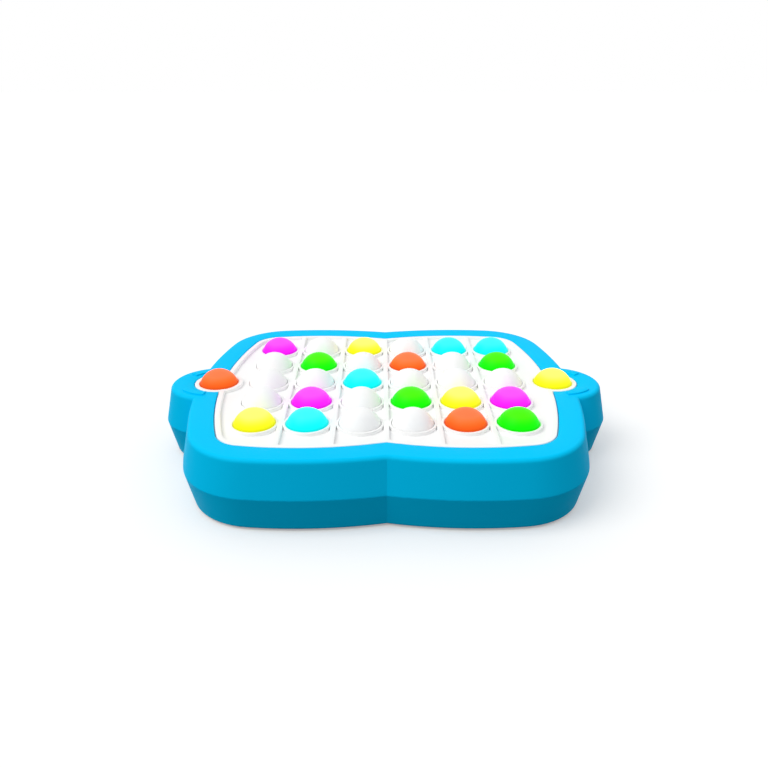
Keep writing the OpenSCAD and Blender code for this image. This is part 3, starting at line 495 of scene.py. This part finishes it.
# Heights and places that the pieces share, from the table up
levels = {
    "floor": 1.2, "inside": 3.6, "part": 20.6, "panel": 37.55, "skin": 38.8, "channel": 39.25, "top": 41.2}
grid = {"pitch": 28, "columns": 6, "rows": 5, "playerX": 99.4}
gridSeats = {}
for row in range(grid["rows"]):
    for column in range(grid["columns"]):
        x = (column - (grid["columns"] - 1) / 2) * grid["pitch"]
        y = ((grid["rows"] - 1) / 2 - row) * grid["pitch"]
        gridSeats["row%d_col%d" % (row + 1, column + 1)] = (x, y)
playerSeats = {"left_player": (-grid["playerX"], 0), "right_player": (grid["playerX"], 0)}
caseScrews = [(x, y) for x in (-70, 70) for y in (-86.7, 86.7)] + [(-117.7, 0), (117.7, 0)]

casing = {
    "halfWidth": 115.1, "halfDepth": 101.1, "lobeX": 45.6, "endRadius": 214, "sideRadius": 284,
    "cornerRadius": 42, "earX": 102.9, "earRadius": 28.3,
    "steps": {"lobe": 22, "corner": 12, "side": 12, "ear": 22}}
panel = {
    "halfWidth": 97.3, "halfDepth": 84.6, "lobeX": 44.7, "endRadius": 166, "sideRadius": 261,
    "cornerRadius": 16.3, "earX": grid["playerX"], "earRadius": 14.3, "steps": casing["steps"]}


# Upper shell: leaning wall, soft top edge, flat rim round the opening and raised arcs on the ears
upperShell = {
    "inset": 3.8, "endRelief": 1.5, "wall": 2.4, "fillet": 2.4, "filletSteps": 10, "seamRound": 0.15,
    "seamEdge": 0.05, "evenRows": (0.2, 0.5), "rimRound": 0.3, "rimSteps": 4, "gap": 0.25, "bossRadius": 3.3,
    "bossSink": 0.5, "bossSteps": 24, "markRadius": (15.2, 19.8), "markHeight": 0.8, "markSink": 0.5,
    "markArc": (39, 85), "markSteps": 14, "markEdge": 60, "markRound": 0.25, "crease": 23}


def makeUpperShell(its):
    bm = bmesh.new()
    part, top, skin = levels["part"], levels["top"], levels["skin"]
    inset, wall, ease, seamEdge = its["inset"], its["wall"], its["fillet"], its["seamEdge"]
    lean = inset / (top - part - ease)
    start = atan(lean)
    rim = {**casing, "halfDepth": casing["halfDepth"] + its["endRelief"]}
    rows = [(casing, -its["seamRound"], part), (casing, -seamEdge, part + seamEdge)]
    rows += [(casing, -lean * up, part + up) for up in its["evenRows"]]  # these keep the wall's shading even
    edge = bend((-inset - ease / cos(start), top - ease), ease, degrees(start), 90, its["filletSteps"])
    down = its["evenRows"][-1]
    rows += [(rim, edge[0][0] + down * lean, edge[0][1] - down)]
    rows += [(rim, offset, height) for offset, height in edge]
    gap, rimRound = its["gap"], its["rimRound"]
    lip = bend((gap + rimRound, top - rimRound), rimRound, 90, 180, its["rimSteps"])
    rows += [(panel, offset, height) for offset, height in lip]
    rows += [(panel, gap, skin), (casing, -inset - ease - wall, skin), (casing, -inset - wall, top - ease),
             (casing, -wall, part)]
    skinRows(bm, rows, True)
    boss = plug(its["bossRadius"], part, skin + its["bossSink"])
    for place in caseScrews:
        turned(bm, boss, place, its["bossSteps"], closed=False)
    for side in (1, -1):
        for half in (1, -1):
            addEarMark(bm, its, side, half)
    return finishPiece(
        bm, "upperShell", casingBlue, "casing", "casing_blue", "top_housing", crease=its["crease"])


def addEarMark(bm, its, side, half):
    known = set(bm.edges)
    top = levels["top"]
    inner, outer = its["markRadius"]
    low, high = top - its["markSink"], top + its["markHeight"]
    middle = Vector((casing["earX"], 0, 0))
    first = bm.verts.new(middle + Vector((inner, 0, low)))
    vert = first
    for radius, height in ((inner, high), (outer, high), (outer, low)):
        vert = drawTo(bm, vert, middle + Vector((radius, 0, height)))
    bm.edges.new((vert, first))
    edges = newEdges(bm, known)
    verts = vertsOf(edges)
    start, stop = (radians(a) for a in its["markArc"])
    bmesh.ops.rotate(bm, cent=middle, matrix=Matrix.Rotation(start, 3, "Z"), verts=verts)
    bmesh.ops.spin(
        bm, geom=verts + edges, cent=middle, axis=(0, 0, 1), angle=stop - start, steps=its["markSteps"])
    bmesh.ops.holes_fill(bm, edges=[e for e in newEdges(bm, known) if e.is_boundary], sides=4)
    raised = [e for e in newEdges(bm, known) if all(v.co.z > top for v in e.verts)]
    raised = [e for e in raised if e.calc_face_angle(0) > radians(its["markEdge"])]
    rounded(bm, raised, its["markRound"])
    bmesh.ops.scale(bm, vec=(side, half, 1), verts=vertsOf(newEdges(bm, known)))


makeUpperShell(upperShell)
print("upper shell made")


# Lower shell: a wall that leans in to a rounded foot edge, with everything that the underside carries
lowerShell = {
    "lean": 4.3 / 17.7, "wall": 2.4, "fillet": 1.5, "filletSteps": 6, "seamRound": 0.15, "seamEdge": 0.05,
    "seamGap": 0.02, "evenRows": (0.5, 0.2), "mouth": 0.35, "cutDepth": 4, "holeSteps": 36, "screwHole": 2.8,
    "tube": 4.5, "tubeFoot": 1, "tubeDrop": 0.1, "headSeat": 16.6, "pilot": 1.6, "footSeat": (7.2, 1),
    "door": (0, 27), "doorSeat": (62.3, 50.9), "doorDepth": 1.4, "tabSeat": 8, "box": (57.3, 45.9),
    "boxWall": 1.8, "boxTop": 18.7, "boxLap": 0.1, "sink": 0.5, "cup": (34.1, 27), "cupSeat": 3.95,
    "cupDepth": 3.7, "cupTube": 5.65, "cupTop": 13.4, "grille": (0, -46), "grilleRings": 2, "grilleStep": 5,
    "grilleHole": 1.2, "speakerSeat": (20.2, 21.4), "speakerRim": 2, "speakerSteps": 48, "switch": (64, -34),
    "dish": (17.6, 8), "dishDepth": 0.9, "dishEase": 0.81, "slot": (9.6, 4.6), "crease": 23}
footPlaces = [(x, y) for x in (-72, 72) for y in (-62, 62)]


def addHole(bm, place, radius, mouth, depth):  # cutter for a round hole with an eased edge at the underside
    floor = levels["floor"]
    low, wide = floor - cutterClear, radius + mouth
    section = [(0, low), (wide + cutterClear, low), (wide, floor), (radius, floor + mouth),
               (radius, floor + depth), (0, floor + depth)]
    turned(bm, section, place, lowerShell["holeSteps"], closed=False)


def grillePlaces(its):  # a hole in the middle, six round it, twelve round those
    x, y = its["grille"]
    places = [(x, y)]
    for ring in range(1, its["grilleRings"] + 1):
        count = 6 * ring
        reach = ring * its["grilleStep"]
        for i in range(count):
            angle = 2 * pi * i / count
            places.append((x + reach * cos(angle), y + reach * sin(angle)))
    return places


def undersideCutter(its):
    cutter = bmesh.new()
    floor, mouth, depth = levels["floor"], its["mouth"], its["cutDepth"]
    for place in caseScrews:
        addHole(cutter, place, its["screwHole"], mouth, depth)
    for place in grillePlaces(its):
        addHole(cutter, place, its["grilleHole"], mouth, depth)
    for place in footPlaces:
        addHole(cutter, place, its["footSeat"][0], mouth / 2, its["footSeat"][1])
    addHole(cutter, its["cup"], its["cupSeat"], mouth, depth)
    low = floor - cutterClear
    addBlock(cutter, its["door"], its["box"], low, floor + depth)
    addBlock(cutter, its["door"], its["doorSeat"], low, floor + its["doorDepth"])
    tabMiddle = (its["cup"][0] - its["tabSeat"] / 2, its["cup"][1])
    addBlock(cutter, tabMiddle, (its["tabSeat"], 2 * its["cupSeat"]), low, floor + its["doorDepth"])
    addBlock(cutter, its["switch"], its["slot"], low, floor + depth)
    addBlock(cutter, its["switch"], its["dish"], floor, floor + its["dishDepth"], mouth, its["dishEase"])
    return cutter


def screwTube(bore, outer, pilot, foot, seat, top):  # section of a tube with a narrower hole above the seat
    return [(bore, foot), (outer, foot), (outer, top), (pilot, top), (pilot, seat), (bore, seat)]


def makeLowerShell(its):
    bm = bmesh.new()
    floor, inside, part = levels["floor"], levels["inside"], levels["part"]
    lean, wall, ease, seamEdge = its["lean"], its["wall"], its["fillet"], its["seamEdge"]
    stop = atan(lean)
    seam = part - its["seamGap"]
    middle = (-lean * (part - floor - ease) - ease / cos(stop), floor + ease)
    edge = bend(middle, ease, -90, -degrees(stop), its["filletSteps"])
    rows = [(casing, offset, height) for offset, height in edge]
    up = its["evenRows"][0]
    rows += [(casing, edge[-1][0] + up * lean, edge[-1][1] + up)]
    rows += [(casing, -lean * down, part - down) for down in its["evenRows"]]
    rows += [(casing, -seamEdge, seam - seamEdge), (casing, -its["seamRound"], seam), (casing, -wall, seam),
             (casing, -lean * (part - inside) - wall, inside)]
    skinRows(bm, rows, False)
    bm = carve(bm, undersideCutter(its))
    foot = floor + its["tubeFoot"]
    tube = screwTube(
        its["screwHole"], its["tube"], its["pilot"], foot, its["headSeat"], part - its["tubeDrop"])
    for place in caseScrews:
        turned(bm, tube, place, its["holeSteps"])
    cup = screwTube(
        its["cupSeat"], its["cupTube"], its["pilot"], foot, floor + its["cupDepth"], its["cupTop"])
    turned(bm, cup, its["cup"], its["holeSteps"])
    inner, outer = its["speakerSeat"]
    low, high = inside - its["sink"], inside + its["speakerRim"]
    turned(bm, [(inner, low), (outer, low), (outer, high), (inner, high)], its["grille"], its["speakerSteps"])
    addBatteryBox(bm, its)
    return finishPiece(
        bm, "lowerShell", casingBlue, "casing", "casing_blue", "bottom_housing", crease=its["crease"])


def addBatteryBox(bm, its):  # four walls and a roof over the cells
    x, y = its["door"]
    length, width = its["box"]
    wall = its["boxWall"]
    low, high = levels["inside"] - its["sink"], its["boxTop"]
    addBlock(bm, (x, y), (length + 2 * wall, width + 2 * wall), high, high + wall)
    for way in (-1, 1):
        addBlock(bm, (x + way * (length + wall) / 2, y), (wall, width + 2 * wall), low, high + its["boxLap"])
        addBlock(bm, (x, y + way * (width + wall) / 2), (length, wall), low, high + its["boxLap"])


makeLowerShell(lowerShell)
print("lower shell made")


# Face plate: a floor with bores, a raised border, ribs between the columns and a collar round every dome
facePlate = {
    "gap": 0.3, "flange": 2.8, "border": 3.4, "edgeRound": 0.45, "roundSteps": 4, "bore": 11.5,
    "boreZ": (30, 45), "boreSteps": 56, "collar": 12.85, "collarRound": 0.3, "tab": 14.15, "ribWidth": 3,
    "ribRound": 0.35, "ribLap": 0.4, "sink": 0.4, "skinGap": 0.05, "borderDrop": 0.03, "ribDrop": 0.06,
    "crease": 23}


def endReach(x, inset):  # how far the plate's outline reaches at a distance from the middle
    radius = panel["endRadius"] - inset
    return panel["halfDepth"] - panel["endRadius"] + sqrt(radius ** 2 - (abs(x) - panel["lobeX"]) ** 2)


def roundedTop(inner, outer, low, high, ease, steps):  # section of a ring with eased top edges
    section = [(inner, low), (outer, low)]
    section += bend((outer - ease, high - ease), ease, 0, 90, steps)
    section += bend((inner + ease, high - ease), ease, 90, 180, steps)
    return section


def boreCutter(its, seats):
    cutter = bmesh.new()
    for place in seats:
        turned(cutter, plug(its["bore"], *its["boreZ"]), place, its["boreSteps"], closed=False)
    return cutter


def makeFacePlate(its):
    top, channel, skin = levels["top"], levels["channel"], levels["skin"] - its["skinGap"]
    gap, ease, steps = its["gap"], its["edgeRound"], its["roundSteps"]
    players = list(playerSeats.values())
    base = bmesh.new()
    skinRows(base, [
        (panel, its["flange"], levels["panel"]), (panel, its["flange"], skin), (panel, -gap, skin),
        (panel, -gap, channel)], False)
    base = carve(base, boreCutter(its, list(gridSeats.values()) + players))
    border = bmesh.new()
    foot = channel - its["sink"]
    turn = top - its["borderDrop"] - ease
    section = bend((-gap - ease, turn), ease, 0, 90, steps)
    section += bend((-its["border"] + ease, turn), ease, 90, 180, steps)
    section += [(-its["border"], foot), (-gap, foot)]
    skinRows(border, [(panel, offset, height, False) for offset, height in section], True)
    border = carve(border, boreCutter(its, players))
    plate = bmesh.new()
    addShapes(plate, base)
    addShapes(plate, border)
    for i in range(1, grid["columns"]):
        addRib(plate, its, (i - grid["columns"] / 2) * grid["pitch"])
    collar = roundedTop(its["bore"], its["collar"], foot, top, its["collarRound"], steps)
    for place in gridSeats.values():
        turned(plate, collar, place, its["boreSteps"])
    tab = roundedTop(its["bore"], its["tab"], foot, top, ease, steps)
    for place in players:
        turned(plate, tab, place, its["boreSteps"])
    return finishPiece(
        plate, "facePlate", plateWhite, "casing", "panel_white", "face_panel", crease=its["crease"])


def addRib(bm, its, x):
    known = set(bm.edges)
    reach = endReach(x, its["border"] / 2) if x else endReach(x, its["border"]) + its["ribLap"]
    high = levels["top"] - its["ribDrop"]
    addBlock(bm, (x, 0), (its["ribWidth"], 2 * reach), levels["channel"] - its["sink"], high)
    upper = [e for e in newEdges(bm, known) if all(v.co.z > high - levelGap for v in e.verts)]
    long = [e for e in upper if abs(e.verts[0].co.y - e.verts[1].co.y) > its["ribWidth"]]
    rounded(bm, long, its["ribRound"], its["roundSteps"])


makeFacePlate(facePlate)
print("face plate made")


# Domes: hollow silicone bubbles with a skirt in the collar and a flange under the plate
dome = {
    "radius": 11.05, "height": 8, "wall": 1.6, "flange": 12.6, "flangeZ": (36.05, 37.25), "steps": 48,
    "arcSteps": 14, "footRound": 1.2, "footTurn": 60, "footSteps": 6, "crease": 40}
rowLights = [
    "magenta white yellow white cyan cyan",
    "white green white orange white green",
    "white white cyan white white white",
    "white magenta white green yellow magenta",
    "yellow cyan white white orange green"]


def domeSection(its):
    top, radius, height = levels["top"], its["radius"], its["height"]
    sphere = (radius ** 2 + height ** 2) / (2 * height)
    middle = top + height - sphere
    foot = atan2(top - middle, radius)
    inner = radius - its["wall"]
    innerSphere = sphere - its["wall"]
    innerFoot = atan2(sqrt(innerSphere ** 2 - inner ** 2), inner)
    low, high = its["flangeZ"]
    section = bend((0, middle), innerSphere, 90, degrees(innerFoot), its["arcSteps"])
    ease = its["footRound"]
    tuckMiddle = (radius - ease * cos(foot), top - ease * sin(foot))
    tuck = bend(tuckMiddle, ease, -its["footTurn"], degrees(foot), its["footSteps"])
    section += [(inner, low), (its["flange"], low), (its["flange"], high), (tuck[0][0], high)]
    section += tuck[:-1] + bend((0, middle), sphere, degrees(foot), 90, its["arcSteps"])
    return [(max(reach, 0), level) for reach, level in section]


def makeDome(its, node, place, light):
    bm = bmesh.new()
    lamp = bm.verts.layers.float.new("lampLight")
    for v in turned(bm, domeSection(its), (0, 0), its["steps"], closed=False):
        if v.co.z > levels["top"] - levelGap:
            v[lamp] = 1 - v.co.xy.length_squared / its["radius"] ** 2
    bmesh.ops.translate(bm, vec=(place[0], place[1], 0), verts=bm.verts)
    return finishPiece(
        bm, node + "_dome", domeFinish[light], node, "bubble_" + light, node, crease=its["crease"])


for row, lights in enumerate(rowLights, 1):
    for column, light in enumerate(lights.split(), 1):
        seatName = "row%d_col%d" % (row, column)
        makeDome(dome, "bubble_" + seatName, gridSeats[seatName], light)
makeDome(dome, "left_player_bubble", playerSeats["left_player"], "orange")
makeDome(dome, "right_player_bubble", playerSeats["right_player"], "yellow")
print("domes made")


# Switch mat: a rubber sheet, and a hollow cone under each dome; the real cone folds down when the dome is
# pressed, but here it keeps its resting shape
switchMat = {
    "margin": -0.2, "sheet": (28.05, 29.25), "cone": (13.2, 11.6), "coneTop": 35.75, "coneSink": 0.3,
    "ring": 8.5, "ringFoot": 31.75, "wall": 1, "hole": 12, "steps": 40, "travel": 4}


def makeSwitchMat(its):
    low, high = its["sheet"]
    bm = bmesh.new()
    skinRows(bm, [(panel, its["margin"], low), (panel, its["margin"], high)], False)
    cutter = bmesh.new()
    hole = plug(its["hole"], low - cutterClear, high + cutterClear)
    seats = {**gridSeats, **playerSeats}
    for place in seats.values():
        turned(cutter, hole, place, its["steps"], closed=False)
    finishPiece(carve(bm, cutter), "switchMatSheet", matSilicone, "casing", "mat_rubber", "switch_mat")
    for seatName, place in seats.items():
        makeSpringCone(its, seatName, place)


def makeSpringCone(its, seatName, place):
    base, top = its["cone"]
    low, high = its["sheet"][1] - its["coneSink"], its["coneTop"]
    ring, wall, foot = its["ring"], its["wall"], its["ringFoot"]
    section = [(base, low), (top, high), (ring, high), (ring, foot), (ring + wall, foot),
               (ring + wall, high - wall), (top - wall, high - wall), (base - wall, low)]
    bm = bmesh.new()
    turned(bm, section, place, its["steps"])
    cone = finishPiece(bm, seatName + "_springCone", matSilicone, "casing", "mat_rubber")
    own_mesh(cone)


makeSwitchMat(switchMat)
print("switch mat made")


# Rubber feet: turned discs with a rounded tread and a shallow ring moulded in it
rubberFoot = {
    "radius": 7, "top": 2.2, "round": 0.6, "roundSteps": 5, "ring": (3.2, 4.4), "ringDepth": 0.4,
    "ringSlope": 0.2, "steps": 48}


def makeFeet(its):
    bm = bmesh.new()
    ease, depth, slope = its["round"], its["ringDepth"], its["ringSlope"]
    inner, outer = its["ring"]
    section = [(0, 0), (inner, 0), (inner + slope, depth), (outer - slope, depth), (outer, 0)]
    section += bend((its["radius"] - ease, ease), ease, -90, 0, its["roundSteps"])
    section += [(its["radius"], its["top"]), (0, its["top"])]
    for place in footPlaces:
        turned(bm, section, place, its["steps"], closed=False)
    return finishPiece(bm, "rubberFeet", footRubber, "casing", "foot_rubber", "rubber_feet")


makeFeet(rubberFoot)
print("feet made")


# Battery door: a thin plate with a screw tab, eased edges and grip bars at its hinge end
batteryDoor = {
    "middle": (0, 27), "half": (30.85, 25.15), "corner": 2, "cornerSteps": 6, "thick": 1.4, "ease": 0.4,
    "tab": (34.1, 3.65), "tabSteps": 12, "headSeat": (2.8, 2), "seatEase": 0.2, "cupFoot": 1.2,
    "cupHeight": 3.4, "cupGap": 0.05, "pilot": 1.6, "cutDepth": 5, "steps": 36, "bars": (-24, -21, -18),
    "bar": (1.2, 18, 0.35), "barSink": 0.3, "plug": (56.7, 45.3, 1), "plugSink": 0.2, "crease": 28}
gripRound = 0.3


def drawDoorOutline(bm, its):  # one side from the tab to the hinge end, and its mirror image
    floor = levels["floor"]
    length, width = its["half"]
    corner = its["corner"]
    reach, tabRadius = its["tab"]
    vert = bm.verts.new((reach + tabRadius, 0, floor))
    vert = sweep(bm, vert, Vector((reach, 0, floor)), Vector((reach, 1, floor)), its["tabSteps"])
    vert = drawTo(bm, vert, (length, tabRadius, floor))
    vert = drawTo(bm, vert, (length, width - corner, floor))
    vert = sweep(bm, vert, Vector((length - corner, width - corner, floor)),
                 Vector((length - corner, width, floor)), its["cornerSteps"])
    vert = drawTo(bm, vert, (-length + corner, width, floor))
    middle = Vector((-length + corner, width - corner, floor))
    shortOfHalfTurn = Vector((-length, width - corner + mirrorGap, floor))
    vert = sweep(bm, vert, middle, shortOfHalfTurn, its["cornerSteps"])
    drawTo(bm, vert, (-length, 0, floor))
    return mirrorNew(bm, set(), "Y")


def makeBatteryDoor(its):
    bm = bmesh.new()
    floor, thick = levels["floor"], its["thick"]
    reach, tabRadius = its["tab"]
    face = bmesh.ops.edgeloop_fill(bm, edges=drawDoorOutline(bm, its))["faces"]
    raised = bmesh.ops.extrude_face_region(bm, geom=face, use_keep_orig=True)["geom"]
    bmesh.ops.translate(bm, vec=(0, 0, thick), verts=[g for g in raised if isinstance(g, bmesh.types.BMVert)])
    bmesh.ops.recalc_face_normals(bm, faces=bm.faces)
    rounded(bm, [e for e in bm.edges if all(v.co.z < floor + levelGap for v in e.verts)], its["ease"])
    cup = plug(tabRadius - its["cupGap"], floor + its["cupFoot"], floor + its["cupHeight"])
    turned(bm, cup, (reach, 0), its["steps"], closed=False)
    plugLength, plugWidth, plugHeight = its["plug"]
    addBlock(bm, (0, 0), (plugLength, plugWidth), floor + thick - its["plugSink"], floor + thick + plugHeight)
    cutter = bmesh.new()
    radius, depth = its["headSeat"]
    wide = radius + its["seatEase"]
    low, high = floor - cutterClear, floor + its["cutDepth"]
    hole = [(0, low), (wide + cutterClear, low), (wide, floor), (radius, floor + its["seatEase"]),
            (radius, floor + depth), (its["pilot"], floor + depth), (its["pilot"], high), (0, high)]
    turned(cutter, hole, (reach, 0), its["steps"], closed=False)
    bm = carve(bm, cutter)
    barLength, barWidth, barHeight = its["bar"]
    for x in its["bars"]:
        addGripBar(bm, (x, 0), (barLength, barWidth), floor - barHeight, floor + its["barSink"])
    bmesh.ops.translate(bm, vec=(its["middle"][0], its["middle"][1], 0), verts=bm.verts)
    return finishPiece(
        bm, "batteryDoor", casingBlue, "casing", "casing_blue", "battery_door", crease=its["crease"])


def addGripBar(bm, middle, size, fromZ, toZ):  # a block with its lower edges rounded over
    known = set(bm.edges)
    addBlock(bm, middle, size, fromZ, toZ)
    low = [e for e in newEdges(bm, known) if all(v.co.z < fromZ + levelGap for v in e.verts)]
    rounded(bm, low, gripRound)


makeBatteryDoor(batteryDoor)
print("battery door made")


# Screws from below: pan heads with a cross recess
caseScrew = {
    "head": 2.7, "headHeight": 2, "shank": 1.5, "ease": 0.8, "easeSteps": 5, "tip": (0.4, 1), "steps": 32,
    "cross": (3, 0.8), "crossDepth": 1.1, "crossClear": 0.5, "length": 12, "doorSeat": 3.2, "doorLength": 9.4}


def addScrew(bm, its, place, seat, length):
    one = bmesh.new()
    head, shank, ease = its["head"], its["shank"], its["ease"]
    tipRadius, tipLength = its["tip"]
    low, end = seat - its["headHeight"], seat + length
    section = [(0, low)] + bend((head - ease, low + ease), ease, -90, 0, its["easeSteps"])
    section += [(head, seat), (shank, seat), (shank, end - tipLength), (tipRadius, end), (0, end)]
    turned(one, section, (0, 0), its["steps"], closed=False)
    cutter = bmesh.new()
    long, wide = its["cross"]
    for size in ((long, wide), (wide, long)):
        addBlock(cutter, (0, 0), size, low - its["crossClear"], low + its["crossDepth"])
    one = carve(one, cutter)
    bmesh.ops.translate(one, vec=(place[0], place[1], 0), verts=one.verts)
    addShapes(bm, one)


def makeScrews(its):
    bm = bmesh.new()
    for place in caseScrews:
        addScrew(bm, its, place, lowerShell["headSeat"], its["length"])
    finishPiece(bm, "caseScrews", screwZinc, "casing", "screw_steel", "case_screws")
    bm = bmesh.new()
    addScrew(bm, its, lowerShell["cup"], its["doorSeat"], its["doorLength"])
    finishPiece(bm, "batteryDoorScrew", screwZinc, "casing", "screw_steel", "battery_door_screw")


makeScrews(caseScrew)
print("screws made")


# Power switch: the slider with its ribbed knob under the casing
slider = {
    "place": (62, -34), "plate": (14.2, 7), "plateZ": (3.75, 4.95), "knob": (5, 4), "knobZ": (1.5, 4.2),
    "lever": (2, 2), "leverZ": (4.5, 7.65), "ribs": (-1.5, 0, 1.5), "rib": (0.7, 3.4, 0.3), "ribSink": 0.3}


def makeSlider(its):
    bm = bmesh.new()
    x, y = its["place"]
    addBlock(bm, (x, y), its["plate"], *its["plateZ"])
    addBlock(bm, (x, y), its["lever"], *its["leverZ"])
    addGripBar(bm, (x, y), its["knob"], *its["knobZ"])
    ribLength, ribWidth, ribHeight = its["rib"]
    low = its["knobZ"][0]
    for along in its["ribs"]:
        addGripBar(bm, (x + along, y), (ribLength, ribWidth), low - ribHeight, low + its["ribSink"])
    return finishPiece(bm, "switchSlider", knobBlack, "switch_slider", "switch_black", "switch_slider")


makeSlider(slider)
print("switch slider made")


# Pieces inside that keep their CAD shape get their finish here
innerFinish = {
    "circuit_board": boardGreen, "board_lamps": lampEpoxy, "board_parts": chipBlack,
    "board_screws": screwZinc, "small_screws": screwZinc, "battery_cell_1": sleeveRight,
    "battery_cell_2": sleeveLeft, "battery_cell_3": sleeveRight, "battery_springs": contactNickel,
    "battery_plates": contactNickel, "speaker_basket": basketSteel, "speaker_cone": conePaper,
    "speaker_magnet": basketSteel, "speaker_clamp": clampGrey, "switch_body": switchGrey,
    "battery_leads": leadRed, "speaker_leads": leadBlack, "switch_leads": leadBlue}
for name, finish in innerFinish.items():
    inner = nodes[name]
    if not inner.material_slots:
        inner.data.materials.append(finish)
    for materialSlot in inner.material_slots:
        materialSlot.material = finish
print("inner pieces finished:", len(innerFinish))


# Stage: a pale floor that keeps the shadow, white all round, a studio that is brighter above and to the left,
# and one broad soft lamp from the upper left
stage = {
    "size": 6, "shadowWhite": 0.74, "lift": 0.31, "bounce": "454749", "around": 0.57,
    "slope": (-0.06, 0.06, 0.2), "tint": (0.96, 0.98, 1, 1)}
plainWhite = (1, 1, 1, 1)


def sceneRays(material):  # one where the camera, a reflection or something clear looks straight at it
    rays = addNode(material, "LightPath")
    seen = addNode(material, "Math", {
        0: rays.outputs["Is Camera Ray"], 1: rays.outputs["Is Glossy Ray"]}, operation="MAXIMUM")
    seen = addNode(material, "Math", {
        0: seen.outputs[0], 1: rays.outputs["Is Transmission Ray"]}, operation="MAXIMUM")
    return seen.outputs[0]


def makeFloor(its):
    paper = newMaterial("paleBackdropPaper")
    white = its["shadowWhite"]
    matt = addNode(paper, "BsdfDiffuse", {"Color": (white, white, white, 1)})
    lift = addNode(paper, "Emission", {"Color": plainWhite, "Strength": its["lift"]})
    shown = addNode(paper, "AddShader", {0: matt.outputs[0], 1: lift.outputs[0]})
    grey = addNode(paper, "BsdfDiffuse", {"Color": linear(its["bounce"])})
    either = addNode(paper, "MixShader", {0: sceneRays(paper), 1: grey.outputs[0], 2: shown.outputs[0]})
    addNode(paper, "OutputMaterial", {"Surface": either.outputs[0]})
    bm = bmesh.new()
    bmesh.ops.create_grid(bm, x_segments=2, y_segments=2, size=its["size"])
    floor = looseObject(bm, "floor")
    floor.data.materials.append(paper)


def makeStudio(its):
    world = bpy.data.worlds.new("studio")
    scene.world = world
    world.use_nodes = True
    world.node_tree.nodes.clear()
    place = addNode(world, "TexCoord").outputs["Generated"]
    slope = addNode(world, "VectorMath", {0: place, 1: its["slope"]}, operation="DOT_PRODUCT")
    level = addNode(world, "Math", {0: slope.outputs["Value"], 1: its["around"]}, operation="ADD")
    around = addNode(world, "Background", {"Color": its["tint"], "Strength": level.outputs[0]})
    behind = addNode(world, "Background", {"Color": plainWhite, "Strength": 1})
    either = addNode(world, "MixShader", {0: sceneRays(world), 1: around.outputs[0], 2: behind.outputs[0]})
    addNode(world, "OutputWorld", {"Surface": either.outputs[0]})


keyLamp = {"from": (-0.57, -0.26, 0.78), "spread": 40, "strength": 1.35, "colour": "FFFDF8"}


def makeKeyLamp(its):
    light = bpy.data.lights.new("keyLamp", "SUN")
    light.angle = radians(its["spread"])
    light.energy = its["strength"]
    light.color = linear(its["colour"])[:3]
    lamp = bpy.data.objects.new("keyLamp", light)
    lamp.location = its["from"]
    lamp.rotation_euler = (-lamp.location).to_track_quat("-Z", "Y").to_euler()
    scene.collection.objects.link(lamp)


camera = {
    "place": (-0.00265, -0.42313, 0.21697), "pitch": 67.29, "turn": -0.21, "lens": 36, "sensor": 36,
    "clipStart": 0.01}


def makeCamera(its):
    lens = bpy.data.cameras.new("camera")
    lens.lens = its["lens"]
    lens.sensor_width = its["sensor"]
    lens.clip_start = its["clipStart"]
    viewer = bpy.data.objects.new("camera", lens)
    viewer.location = its["place"]
    viewer.rotation_euler = (radians(its["pitch"]), 0, radians(its["turn"]))
    scene.collection.objects.link(viewer)
    scene.camera = viewer


makeFloor(stage)
makeStudio(stage)
makeKeyLamp(keyLamp)
makeCamera(camera)
scene.view_settings.view_transform = "Standard"
print("stage, lamps and camera set")
